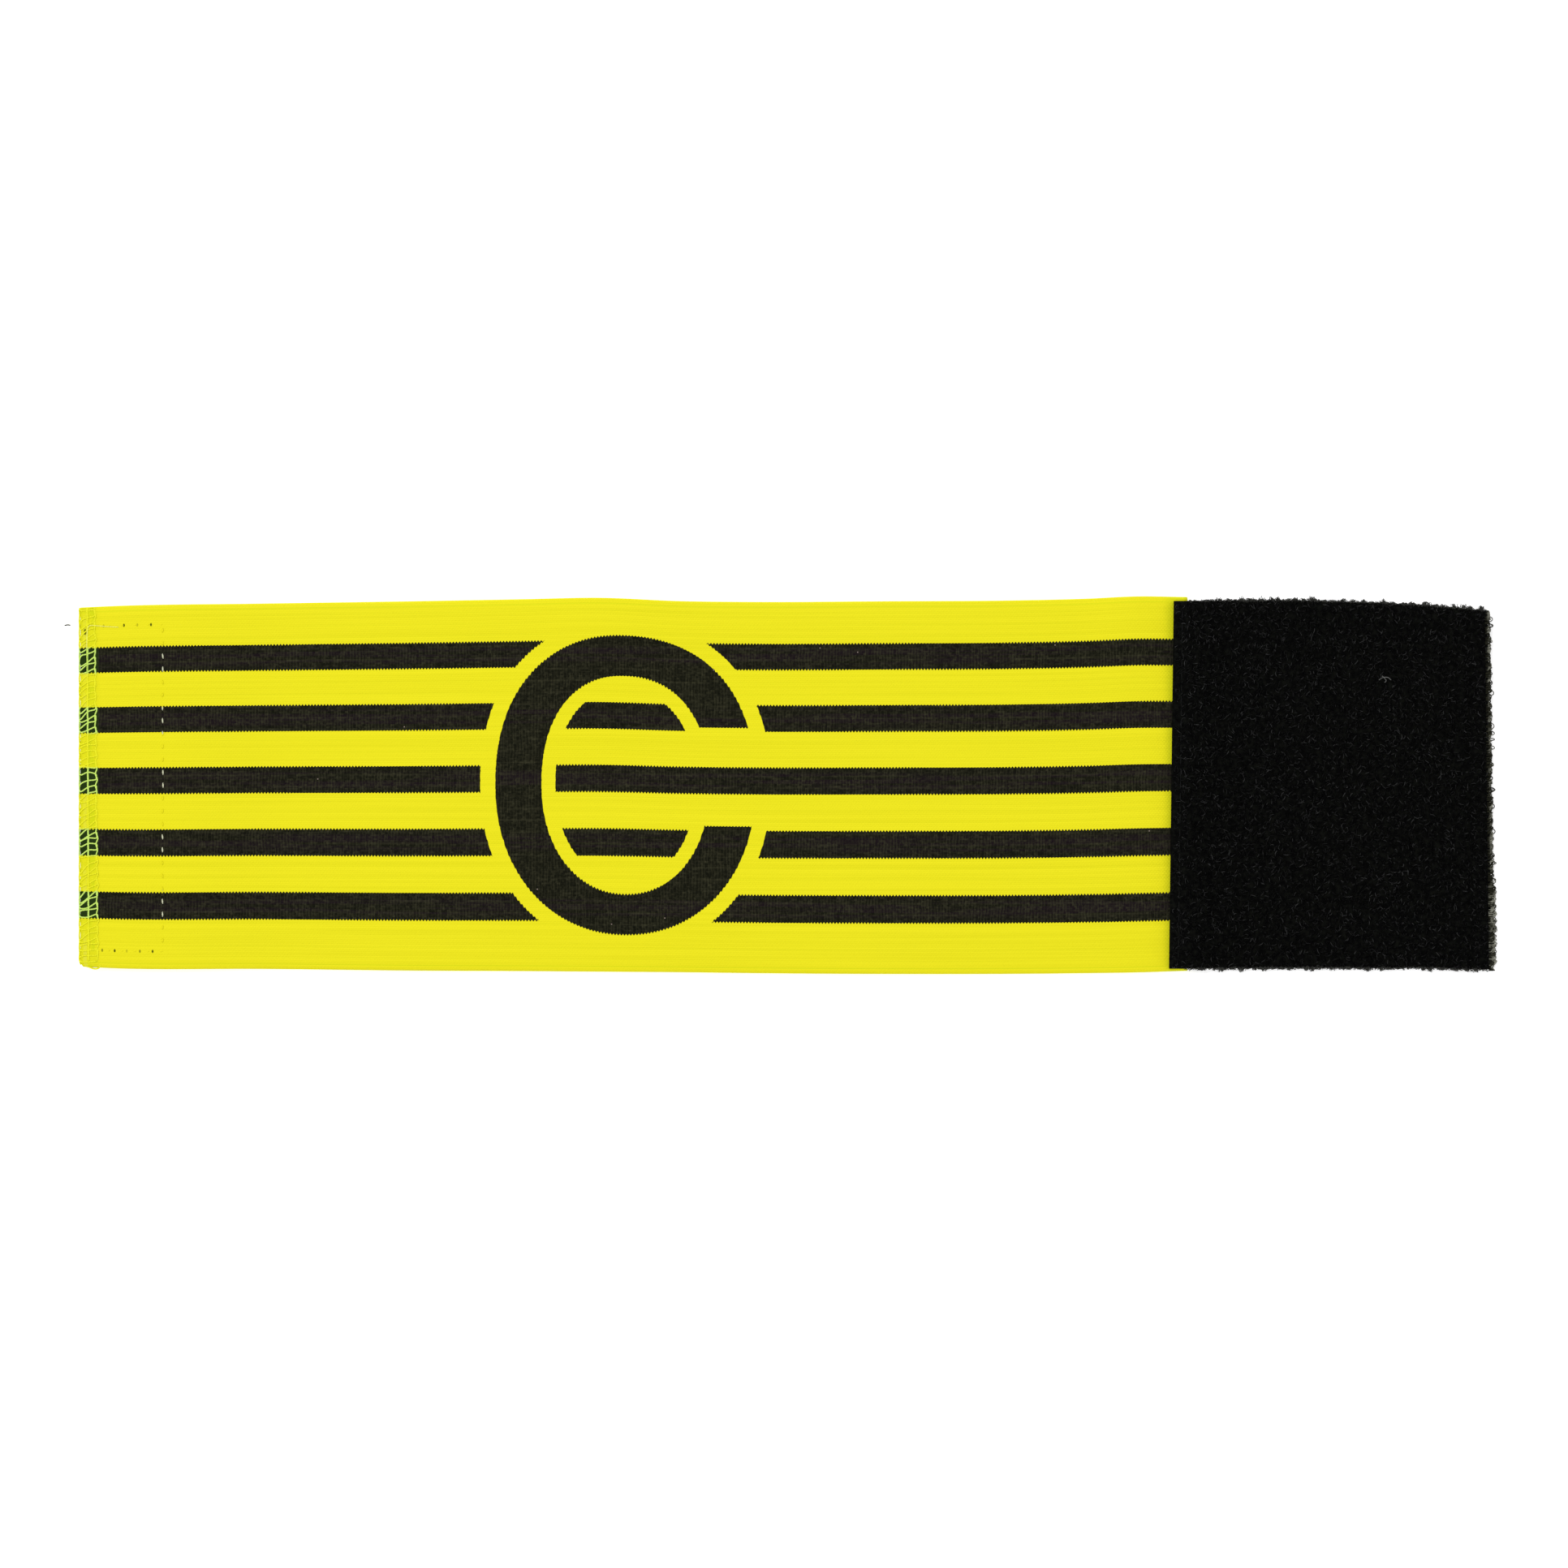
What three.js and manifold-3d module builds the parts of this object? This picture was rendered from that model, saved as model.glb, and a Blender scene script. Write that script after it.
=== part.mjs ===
// Captain armband, undone and lying flat with its printed face up.
// A strip of wide elastic webbing carries five printed stripes and the captain's letter. Its left
// end is overlocked, with a hook patch sewn behind it. A black loop panel is sewn over its right
// end, so that the hooks close on the loops once the band is round an arm.
// Millimetres. +X runs along the armband to the loop panel, +Y across it, and +Z up. The origin
// is the middle of the surface that it lies on.
import * as THREE from "three";
import { mergeVertices } from "three/addons/utils/BufferGeometryUtils.js";
import Module from "manifold-3d";

// Elastic webbing
const BAND_LENGTH = 239.5;
const BAND_WIDTH = 80;
const BAND_THICKNESS = 1.3;
const BAND_SELVEDGE = 0.9; // width of the rounded woven edge

// Loop panel
const PANEL_LENGTH = 68.7;
const PANEL_THICKNESS = 2.2; // woven ground and standing pile
const PANEL_PINCHED = 1.1; // thickness where the overlock draws the pile down
const PANEL_OVERLAP = 3.3; // lap over the end of the webbing
const PANEL_INSET = 0.5; // the webbing shows this much past each side of the panel
const PANEL_EDGE = 1.2; // width over which the pile falls off at a cut side
const PANEL_NEAR_LEAN = 0.5; // how far along the armband the near cut leans from its middle to its top
const PANEL_FAR_LEAN = -0.5; // and the far cut

// Hook patch on the back
const PATCH_LENGTH = 20;
const PATCH_INSET = 2.3; // from the webbing's sides
const PATCH_BASE = 0.7;
const HOOK_HEIGHT = 0.9;
const HOOK_ROW_PITCH = 1.6;
const HOOK_ROW_THICKNESS = 0.9;
const HOOK_MARGIN = 1.2; // bare tape at its edges

// Overlocked ends
const OVERLOCK_WIDTH = 4;
const PANEL_OVERLOCK_WIDTH = 4.4;
const STITCH_PITCH = 2.6;
const THREAD = 0.34; // thickness of the thread layer
const THREAD_VALLEY = 0.2; // and between two stitches

// Print, in step with the webbing's width
const INK = 0.15;
const STRIPE_COUNT = 5;
const STRIPE_WIDTH = 0.0725 * BAND_WIDTH;
const STRIPE_PITCH = 0.17 * BAND_WIDTH;
const STRIPES_RAISED = 0.0175 * BAND_WIDTH; // the middle stripe's height above the webbing's middle
const STRIPES_SAG = 0.005 * BAND_WIDTH; // how far the outermost stripes lie below an even spacing
const LETTER_WIDTH = 0.704 * BAND_WIDTH;
const LETTER_HEIGHT = 0.804 * BAND_WIDTH;
const LETTER_STEM = 0.125 * BAND_WIDTH; // stroke at the side
const LETTER_BAR = 0.109 * BAND_WIDTH; // stroke at the top and bottom
const LETTER_ALONG = 0.492 * BAND_LENGTH; // its middle, from the overlocked end
const LETTER_OPENING = 0.266 * BAND_WIDTH; // between its two ends
const LETTER_OPENING_RAISED = 0.0275 * BAND_WIDTH; // the opening's middle, above the letter's
const LETTER_SQUARENESS = { above: 2.28, below: 2.1 }; // of its upper and lower half; 2 is an ellipse
const KEYLINE = 0.041 * BAND_WIDTH; // bare webbing round the letter
const INNER_KEYLINE = 0.0375 * BAND_WIDTH; // and inside it

// How it lies
const CLEARANCE = 0.1; // between two pieces that are sewn or printed together
const PATCH_RUN_OUT = 26; // length over which the webbing comes down from the hook patch
const PANEL_RUN_OUT = 9; // and the panel from the end of the webbing
const THREAD_RUN_OUT = 6; // and from its own overlock
const RIPPLE = 1; // height of the tallest ripple
const STATION = 6.8; // spacing of the sections along a cloth
const ROW = 8; // and of the points across it
const LETTER_STEPS = 44;
const STRIPE_END_STEPS = 5;

// The webbing's outline: its middle line and width, as shares of BAND_WIDTH.
const BAND_OUTLINE = [
  { along: 0, middle: -0.0052, width: 0.969 },
  { along: 0.03, middle: -0.0052, width: 0.977 },
  { along: 0.16, middle: -0.0028, width: 0.986 },
  { along: 0.3, middle: -0.0018, width: 0.997 },
  { along: 0.4, middle: 0.0002, width: 1.004 },
  { along: 0.47, middle: 0.0012, width: 1.009 },
  { along: 0.54, middle: -0.0038, width: 1.002 },
  { along: 0.61, middle: -0.0063, width: 1.002 },
  { along: 0.73, middle: -0.0063, width: 1.006 },
  { along: 0.84, middle: -0.0052, width: 1.008 },
  { along: 0.91, middle: -0.0018, width: 1.011 },
  { along: 0.955, middle: 0.0022, width: 1.015 },
  { along: 1, middle: 0.0036, width: 1.009 },
];

// The panel's outline in the same way, as shares of its own length and nominal width.
const PANEL_OUTLINE = [
  { along: 0, middle: 0.0011, width: 1.007 },
  { along: 0.14, middle: 0.0019, width: 1.009 },
  { along: 0.4, middle: 0.003, width: 1.0074 },
  { along: 0.65, middle: -0.0008, width: 1.002 },
  { along: 0.78, middle: -0.003, width: 0.9954 },
  { along: 0.9, middle: -0.0087, width: 0.9907 },
  { along: 1, middle: -0.0136, width: 0.9836 },
];

// Low ripples, where the relaxed webbing stands off the surface: their place and reach are shares
// of the webbing's length and half width, and their height a share of RIPPLE.
const BAND_RIPPLES = [
  { along: 0.47, across: 1, reach: 0.1, spread: 0.9, height: 1 },
  { along: 0.71, across: -1, reach: 0.13, spread: 0.8, height: 0.75 },
  { along: 0.31, across: -1, reach: 0.1, spread: 0.7, height: 0.55 },
  { along: 0.945, across: 1, reach: 0.05, spread: 0.8, height: 0.7 },
];
const PANEL_RIPPLES = [{ along: 1, across: 1, reach: 0.45, spread: 0.9, height: 1 }];

// Thickness from a cloth's side inwards: the inset is a share of its edge width, and the
// thickness a share of the cloth's.
const EDGE_PROFILE = [
  { inset: 0, thickness: 0.42 },
  { inset: 0.35, thickness: 0.82 },
  { inset: 1, thickness: 1 },
];

const wasm = await Module();
wasm.setup();

const clamp = (value) => Math.min(1, Math.max(0, value));
const easeDown = (value) => 1 - clamp(value) ** 2 * (3 - 2 * clamp(value));
const swell = (value) => (Math.abs(value) < 1 ? Math.cos((value * Math.PI) / 2) ** 2 : 0);

// Evenly spaced values from one number to another, no further apart than step.
function spaced(from, to, step) {
  const count = Math.max(1, Math.ceil(Math.abs(to - from) / step - 1e-6));
  return Array.from({ length: count + 1 }, (_, i) => from + ((to - from) * i) / count);
}

// The same through several given values in turn.
function through(stops, step) {
  return stops.flatMap((stop, i) => (i ? spaced(stops[i - 1], stop, step).slice(1) : [stop]));
}

function curveOf(table, column) {
  const curve = new THREE.CubicInterpolant(
    table.map((row) => row.along),
    table.map((row) => row[column]),
    1,
  );
  return (along) => curve.evaluate(clamp(along))[0];
}

function thicknessShare(fromSide, edge) {
  const inset = clamp(fromSide / edge);
  const next = EDGE_PROFILE.findIndex((row) => row.inset >= inset);
  if (next <= 0) return EDGE_PROFILE[0].thickness;
  const [a, b] = [EDGE_PROFILE[next - 1], EDGE_PROFILE[next]];
  return THREE.MathUtils.mapLinear(inset, a.inset, b.inset, a.thickness, b.thickness);
}

// Places across a cloth of that half width, with the rounded edges' own points.
function acrossCloth(halfWidth, edge) {
  const side = EDGE_PROFILE.map((row) => halfWidth - row.inset * edge);
  return [...side.map((v) => -v), ...spaced(-side.at(-1), side.at(-1), ROW).slice(1, -1), ...side.reverse()];
}

function ripplesAt(table, alongShare, acrossShare) {
  const height = table.reduce(
    (sum, r) =>
      sum + r.height * swell((alongShare - r.along) / r.reach) * swell((acrossShare - r.across) / r.spread),
    0,
  );
  return RIPPLE * height;
}

// The webbing: u runs along it from the overlocked end, and v across its nominal width.
const bandMiddle = curveOf(BAND_OUTLINE, "middle");
const bandWidth = curveOf(BAND_OUTLINE, "width");
const patchLift = HOOK_HEIGHT + PATCH_BASE + CLEARANCE;

function bandAcross(u, v) {
  return BAND_WIDTH * bandMiddle(u / BAND_LENGTH) + v * bandWidth(u / BAND_LENGTH);
}

function bandUnder(u, v) {
  const lift = patchLift * easeDown((u - PATCH_LENGTH) / PATCH_RUN_OUT);
  return lift + ripplesAt(BAND_RIPPLES, u / BAND_LENGTH, v / (BAND_WIDTH / 2));
}

function bandThickness(v) {
  return BAND_THICKNESS * thicknessShare(BAND_WIDTH / 2 - Math.abs(v), BAND_SELVEDGE);
}

// The panel: p runs along it from its near cut, and v across its nominal width.
const panelStart = BAND_LENGTH - PANEL_OVERLAP;
const panelWidth = BAND_WIDTH - 2 * PANEL_INSET;
const panelMiddle = curveOf(PANEL_OUTLINE, "middle");
const panelShare = curveOf(PANEL_OUTLINE, "width");
const panelLap = PANEL_OVERLAP + BAND_THICKNESS; // it starts down this far from its near cut

function panelPlace(p, v) {
  const share = p / PANEL_LENGTH;
  const lean = (1 - share) * PANEL_NEAR_LEAN + share * PANEL_FAR_LEAN;
  return [
    panelStart + p + (lean * v) / (panelWidth / 2),
    panelWidth * panelMiddle(share) + v * panelShare(share),
  ];
}

function panelUnder(p, v) {
  const seat = BAND_THICKNESS + CLEARANCE + bandUnder(Math.min(panelStart + p, BAND_LENGTH), v);
  const onBand = seat * easeDown((p - panelLap) / PANEL_RUN_OUT);
  const fromEnd = PANEL_LENGTH - PANEL_OVERLOCK_WIDTH - p;
  const onThread = (THREAD + CLEARANCE) * easeDown(fromEnd / THREAD_RUN_OUT);
  return onBand + onThread + ripplesAt(PANEL_RIPPLES, p / PANEL_LENGTH, v / (panelWidth / 2));
}

function panelThickness(p, v) {
  const fromEnd = PANEL_LENGTH - PANEL_OVERLOCK_WIDTH - CLEARANCE - p;
  const pile = PANEL_THICKNESS - (PANEL_THICKNESS - PANEL_PINCHED) * easeDown(fromEnd / PANEL_EDGE);
  return pile * thicknessShare(panelWidth / 2 - Math.abs(v), PANEL_EDGE);
}

function indexed(positions, index) {
  return new THREE.BufferGeometry()
    .setAttribute("position", new THREE.Float32BufferAttribute(positions, 3))
    .setIndex(index);
}

// A closed layer over a grid: under and over give the place of a grid point on its two faces.
function layer(along, across, under, over) {
  const positions = [under, over].flatMap((face) => along.flatMap((u) => across.flatMap((v) => face(u, v))));
  const columns = across.length;
  const upper = along.length * columns;
  const index = [];
  const quad = (a, b, c, d) => index.push(a, b, c, a, c, d);
  const rim = (a, b) => quad(a, b, upper + b, upper + a);
  for (let i = 0; i < along.length - 1; i++) {
    for (let j = 0; j < columns - 1; j++) {
      const a = i * columns + j;
      const b = a + columns;
      quad(a, a + 1, b + 1, b);
      quad(upper + a, upper + b, upper + b + 1, upper + a + 1);
    }
    rim(i * columns, (i + 1) * columns);
    rim((i + 2) * columns - 1, (i + 1) * columns - 1);
  }
  for (let j = 0; j < columns - 1; j++) {
    rim(j + 1, j);
    rim(upper - columns + j, upper - columns + j + 1);
  }
  return indexed(positions, index);
}

// A closed body through rings of the same number of points, each a list of [x, y, z] in a plane
// of constant y.
function loft(rings) {
  const size = rings[0].length;
  const index = [];
  for (let i = 0; i < rings.length - 1; i++) {
    for (let j = 0; j < size; j++) {
      const a = i * size + j;
      const b = i * size + ((j + 1) % size);
      index.push(a, b + size, b, a, a + size, b + size);
    }
  }
  const cap = THREE.ShapeUtils.triangulateShape(
    rings[0].map(([x, , z]) => new THREE.Vector2(x, z)),
    [],
  );
  const last = (rings.length - 1) * size;
  for (const [a, b, c] of cap) index.push(a, b, c, last + a, last + c, last + b);
  return indexed(rings.flat(2), index);
}

function solidFrom(geometry) {
  const bare = geometry.clone();
  bare.deleteAttribute("normal");
  bare.deleteAttribute("uv");
  const merged = mergeVertices(bare, 1e-4);
  return new wasm.Manifold(
    new wasm.Mesh({
      numProp: 3,
      vertProperties: merged.attributes.position.array,
      triVerts: new Uint32Array(merged.index.array),
    }),
  );
}

function geometryFrom(solid) {
  const { numProp, vertProperties, triVerts } = solid.getMesh();
  const positions = [];
  for (let i = 0; i < vertProperties.length; i += numProp) positions.push(...vertProperties.slice(i, i + 3));
  return indexed(positions, Array.from(triVerts));
}

const bandHalf = BAND_WIDTH / 2;
const bandAlong = through([0, PATCH_LENGTH, PATCH_LENGTH + PATCH_RUN_OUT, BAND_LENGTH], STATION);

function webbing() {
  return layer(
    bandAlong,
    acrossCloth(bandHalf, BAND_SELVEDGE),
    (u, v) => [u, bandAcross(u, v), bandUnder(u, v) + (BAND_THICKNESS - bandThickness(v)) / 2],
    (u, v) => [u, bandAcross(u, v), bandUnder(u, v) + (BAND_THICKNESS + bandThickness(v)) / 2],
  );
}

// The print is one thin layer over the webbing, cut to each printed outline.
function printLayer() {
  const raised = (rise) => (u, v) => [u, bandAcross(u, v), bandUnder(u, v) + BAND_THICKNESS + rise];
  return solidFrom(
    layer(
      bandAlong,
      acrossCloth(bandHalf - BAND_SELVEDGE, BAND_SELVEDGE),
      raised(CLEARANCE),
      raised(CLEARANCE + INK),
    ),
  );
}

function printed(outline, inkLayer) {
  const tall = patchLift + BAND_THICKNESS + RIPPLE * BAND_RIPPLES.length + CLEARANCE + 2 * INK;
  const shape = new THREE.Shape(outline.map(([u, v]) => new THREE.Vector2(u, bandAcross(u, v))));
  const prism = new THREE.ExtrudeGeometry(shape, { depth: tall, bevelEnabled: false });
  return geometryFrom(inkLayer.intersect(solidFrom(prism)));
}

const squarenessAt = (height) => (height > 0 ? LETTER_SQUARENESS.above : LETTER_SQUARENESS.below);

// Half the width of the letter's kind of oval, of those half axes, at a height from its middle.
function reachAt(halfWidth, halfHeight, height) {
  const power = squarenessAt(height);
  const rest = 1 - Math.min(1, Math.abs(height) / halfHeight) ** power;
  return halfWidth * rest ** (1 / power);
}

const outer = [LETTER_WIDTH / 2, LETTER_HEIGHT / 2];
const inner = [outer[0] - LETTER_STEM, outer[1] - LETTER_BAR];
const openingLow = LETTER_OPENING_RAISED - LETTER_OPENING / 2;
const openingHigh = LETTER_OPENING_RAISED + LETTER_OPENING / 2;

// The letter's outline round one of its two ovals, from its upper end to its lower one.
function letterSide([halfWidth, halfHeight]) {
  const start = Math.asin((openingHigh / halfHeight) ** (LETTER_SQUARENESS.above / 2));
  const end = 2 * Math.PI - Math.asin((-openingLow / halfHeight) ** (LETTER_SQUARENESS.below / 2));
  return spaced(start, end, (end - start) / LETTER_STEPS).map((angle) => {
    const bend = (value) => Math.sign(value) * Math.abs(value) ** (2 / squarenessAt(Math.sin(angle)));
    return [LETTER_ALONG + halfWidth * bend(Math.cos(angle)), halfHeight * bend(Math.sin(angle))];
  });
}

function letter(inkLayer) {
  return printed([...letterSide(outer), ...letterSide(inner).reverse()], inkLayer);
}

// A stretch of stripe between two ends, each of which gives its place along at a height v.
function stretch(low, high, from, to) {
  const heights = spaced(low, high, (high - low) / STRIPE_END_STEPS);
  const below = spaced(from(low), to(low), STATION / 2).map((u) => [u, low]);
  const above = spaced(to(high), from(high), STATION / 2).map((u) => [u, high]);
  const right = heights.slice(1, -1).map((v) => [to(v), v]);
  const left = heights.slice(1, -1).reverse().map((v) => [from(v), v]);
  return [...below, ...right, ...above, ...left];
}

// The stretches of one stripe: the letter's keyline cuts it, outside and inside the letter, and
// only the middle stripe runs on through the letter's opening.
function stripeStretches(row) {
  const outermost = ((STRIPE_COUNT - 1) / 2) * STRIPE_PITCH;
  const [low, high] = [-1, 1].map((side) => {
    const fromMiddle = outermost - row * STRIPE_PITCH + (side * STRIPE_WIDTH) / 2;
    return STRIPES_RAISED + fromMiddle - STRIPES_SAG * (fromMiddle / outermost) ** 2;
  });
  const keyline = ([halfWidth, halfHeight], offset, side) => (v) =>
    LETTER_ALONG + side * reachAt(halfWidth + offset, halfHeight + offset, v);
  const start = () => OVERLOCK_WIDTH + CLEARANCE;
  const end = (v) => panelPlace(0, v)[0] - CLEARANCE;
  const furthest = Math.max(Math.abs(low), Math.abs(high));
  const nearest = Math.min(Math.abs(low), Math.abs(high));
  const throughOpening = low > openingLow && high < openingHigh;
  if (!throughOpening && nearest >= outer[1] + KEYLINE) {
    return { whole: stretch(low, high, start, end) };
  }
  const left = stretch(low, high, start, keyline(outer, KEYLINE, -1));
  const afterStem = keyline(inner, -INNER_KEYLINE, -1);
  if (throughOpening) return { left, right: stretch(low, high, afterStem, end) };
  const right = stretch(low, high, keyline(outer, KEYLINE, 1), end);
  if (furthest >= inner[1] - INNER_KEYLINE) return { left, right };
  return { left, inner: stretch(low, high, afterStem, keyline(inner, -INNER_KEYLINE, 1)), right };
}

// Hook tape seen from its side: a flat base, and rows of hooks below it clear of the overlock.
function hookPatch() {
  const top = patchLift - CLEARANCE;
  const first = OVERLOCK_WIDTH + HOOK_MARGIN;
  const field = PATCH_LENGTH - HOOK_MARGIN - first;
  const rows = Math.max(1, Math.floor((field - HOOK_ROW_THICKNESS) / HOOK_ROW_PITCH) + 1);
  const outline = [
    [PATCH_LENGTH, top],
    [0, top],
    [0, HOOK_HEIGHT],
  ];
  for (let i = 0; i < rows; i++) {
    const near = first + i * HOOK_ROW_PITCH;
    const far = near + HOOK_ROW_THICKNESS;
    outline.push([near, HOOK_HEIGHT], [near, 0], [far, 0], [far, HOOK_HEIGHT]);
  }
  outline.push([PATCH_LENGTH, HOOK_HEIGHT]);
  const width = BAND_WIDTH * bandWidth(0) - 2 * PATCH_INSET;
  const shape = new THREE.Shape(outline.map(([x, z]) => new THREE.Vector2(x, z)));
  return new THREE.ExtrudeGeometry(shape, { depth: width, bevelEnabled: false })
    .rotateX(Math.PI / 2)
    .translate(0, BAND_WIDTH * bandMiddle(0) + width / 2, 0);
}

// A thread layer that wraps a cloth's end, ridged once a stitch. place gives a point on the end
// from how far in it lies, and faces the heights of the cloth's two faces there.
function overlock(width, halfWidth, place, faces, outwards) {
  const count = Math.round((2 * halfWidth) / STITCH_PITCH);
  const rings = spaced(-halfWidth, halfWidth, halfWidth / count).map((v, i) => {
    const thread = i % 2 ? THREAD : THREAD_VALLEY;
    const [low, high] = faces(v);
    const y = place(0, v)[1];
    const inwards = place(width, v)[0];
    const near = place(0, v)[0] + outwards * CLEARANCE;
    const far = near + outwards * thread;
    const ring = [
      [inwards, low - CLEARANCE],
      [near, low - CLEARANCE],
      [near, high + CLEARANCE],
      [inwards, high + CLEARANCE],
      [inwards, high + CLEARANCE + thread],
      [near, high + CLEARANCE + thread],
      [far, high + CLEARANCE],
      [far, low - CLEARANCE],
      [near, low - CLEARANCE - thread],
      [inwards, low - CLEARANCE - thread],
    ];
    return (outwards > 0 ? ring.reverse() : ring).map(([x, z]) => [x, y, z]);
  });
  return loft(rings);
}

function endOverlock() {
  const faces = (v) => [HOOK_HEIGHT, bandUnder(0, v) + BAND_THICKNESS];
  return overlock(OVERLOCK_WIDTH, bandHalf, (inwards, v) => [inwards, bandAcross(0, v)], faces, -1);
}

function panelOverlock() {
  const faces = (v) => {
    const low = panelUnder(PANEL_LENGTH, v);
    return [low, low + PANEL_PINCHED];
  };
  return overlock(
    PANEL_OVERLOCK_WIDTH,
    panelWidth / 2,
    (inwards, v) => panelPlace(PANEL_LENGTH - inwards, v),
    faces,
    1,
  );
}

function loopPanel() {
  const overlocked = PANEL_LENGTH - PANEL_OVERLOCK_WIDTH - CLEARANCE;
  const stops = [0, panelLap, panelLap + PANEL_RUN_OUT, overlocked - THREAD_RUN_OUT];
  const along = [
    ...through([...stops, overlocked - PANEL_EDGE], STATION / 2),
    ...through([overlocked, PANEL_LENGTH], STATION),
  ];
  return layer(
    along,
    acrossCloth(panelWidth / 2, PANEL_EDGE),
    (p, v) => [...panelPlace(p, v), panelUnder(p, v)],
    (p, v) => [...panelPlace(p, v), panelUnder(p, v) + panelThickness(p, v)],
  );
}

const cloth = (color, roughness) => new THREE.MeshStandardMaterial({ color, roughness, metalness: 0 });
const ELASTIC = cloth(0xeee523, 0.75);
const PRINT = cloth(0x25241b, 0.6);
const HOOKS = cloth(0x161616, 0.5);
const PILE = cloth(0x0c0c0c, 0.95);
const LIME_THREAD = cloth(0xc4ee55, 0.55);
const DARK_THREAD = cloth(0x3b3b30, 0.7);

const armband = new THREE.Group();
function add(name, geometry, material) {
  const mesh = new THREE.Mesh(geometry, material);
  mesh.name = name;
  armband.add(mesh);
}

add("band", webbing(), ELASTIC);
const inkLayer = printLayer();
for (let row = 0; row < STRIPE_COUNT; row++) {
  for (const [part, outline] of Object.entries(stripeStretches(row))) {
    add(`stripe_${row + 1}_${part}`, printed(outline, inkLayer), PRINT);
  }
}
add("letter_c", letter(inkLayer), PRINT);
add("hook_patch", hookPatch(), HOOKS);
add("end_overlock", endOverlock(), LIME_THREAD);
add("loop_panel", loopPanel(), PILE);
add("panel_overlock", panelOverlock(), DARK_THREAD);

const box = new THREE.Box3().setFromObject(armband);
const middle = box.getCenter(new THREE.Vector3());
armband.position.set(-middle.x, -middle.y, -box.min.z);

export default armband;
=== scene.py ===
"""Captain armband: the visual model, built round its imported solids.

Metres in Blender; the sizes below are millimetres in the solids' own terms: u runs along the
webbing from its overlocked end, p along the loop panel from its near cut, v across either, and z up
from the surface that they lie on.
"""
import math

import bpy
import numpy as np
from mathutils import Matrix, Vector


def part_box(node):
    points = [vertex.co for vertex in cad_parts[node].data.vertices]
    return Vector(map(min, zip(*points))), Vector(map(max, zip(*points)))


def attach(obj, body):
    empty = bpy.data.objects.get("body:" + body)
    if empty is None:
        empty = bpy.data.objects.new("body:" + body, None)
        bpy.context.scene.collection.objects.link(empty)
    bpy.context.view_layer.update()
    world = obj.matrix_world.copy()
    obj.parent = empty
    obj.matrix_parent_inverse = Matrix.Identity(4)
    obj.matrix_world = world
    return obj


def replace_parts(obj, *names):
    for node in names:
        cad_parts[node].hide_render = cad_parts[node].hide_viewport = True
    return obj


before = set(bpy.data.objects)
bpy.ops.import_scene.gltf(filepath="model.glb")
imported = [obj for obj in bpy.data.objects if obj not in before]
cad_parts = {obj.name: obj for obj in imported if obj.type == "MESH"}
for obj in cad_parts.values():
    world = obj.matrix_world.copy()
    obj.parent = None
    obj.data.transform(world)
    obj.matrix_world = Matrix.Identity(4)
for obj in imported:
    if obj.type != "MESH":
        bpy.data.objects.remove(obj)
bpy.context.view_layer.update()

MM = 0.001
rng = np.random.default_rng(11)

# The photograph's frame, in pixels, and its scale
PHOTO_SIDE = 1932
PHOTO_MM_PER_PIXEL = 0.1758
ARMBAND_CENTRE = (969, 967.5)
CAMERA_HEIGHT = 2000

# Elastic webbing
BAND_LENGTH = 239.5
BAND_WIDTH = 80
BAND_THICKNESS = 1.3
SELVEDGE = 0.9
RIB_PITCH = 2.5
PICK_PITCH = 0.68

# Loop panel
PANEL_LENGTH = 68.7
PANEL_THICKNESS = 2.2
PANEL_PINCHED = 1.1
PANEL_OVERLAP = 3.3
PANEL_INSET = 0.5
PANEL_EDGE = 1.2
PANEL_NEAR_LEAN = 0.5
PANEL_FAR_LEAN = -0.5

# Hook patch
PATCH_LENGTH = 20
PATCH_INSET = 2.3
PATCH_BASE = 0.7
HOOK_HEIGHT = 0.9

# The panel's overlock, as solid
PANEL_OVERLOCK_WIDTH = 4.4
THREAD = 0.34

# Print, in step with the webbing's width
STRIPE_COUNT = 5
STRIPE_WIDTH = 0.0725 * BAND_WIDTH
STRIPE_PITCH = 0.17 * BAND_WIDTH
STRIPES_RAISED = 0.0175 * BAND_WIDTH
STRIPES_SAG = 0.005 * BAND_WIDTH
LETTER_HALF_WIDTH = 0.704 * BAND_WIDTH / 2
LETTER_HALF_HEIGHT = 0.804 * BAND_WIDTH / 2
LETTER_STEM = 0.125 * BAND_WIDTH
LETTER_BAR = 0.109 * BAND_WIDTH
LETTER_ALONG = 0.492 * BAND_LENGTH
LETTER_OPENING = 0.266 * BAND_WIDTH
LETTER_OPENING_RAISED = 0.0275 * BAND_WIDTH
LETTER_SQUARENESS_ABOVE = 2.28
LETTER_SQUARENESS_BELOW = 2.1
KEYLINE = 0.041 * BAND_WIDTH
INNER_KEYLINE = 0.0375 * BAND_WIDTH

# How it lies
CLEARANCE = 0.1
PATCH_RUN_OUT = 26
PANEL_RUN_OUT = 9
THREAD_RUN_OUT = 6
RIPPLE = 1

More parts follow.
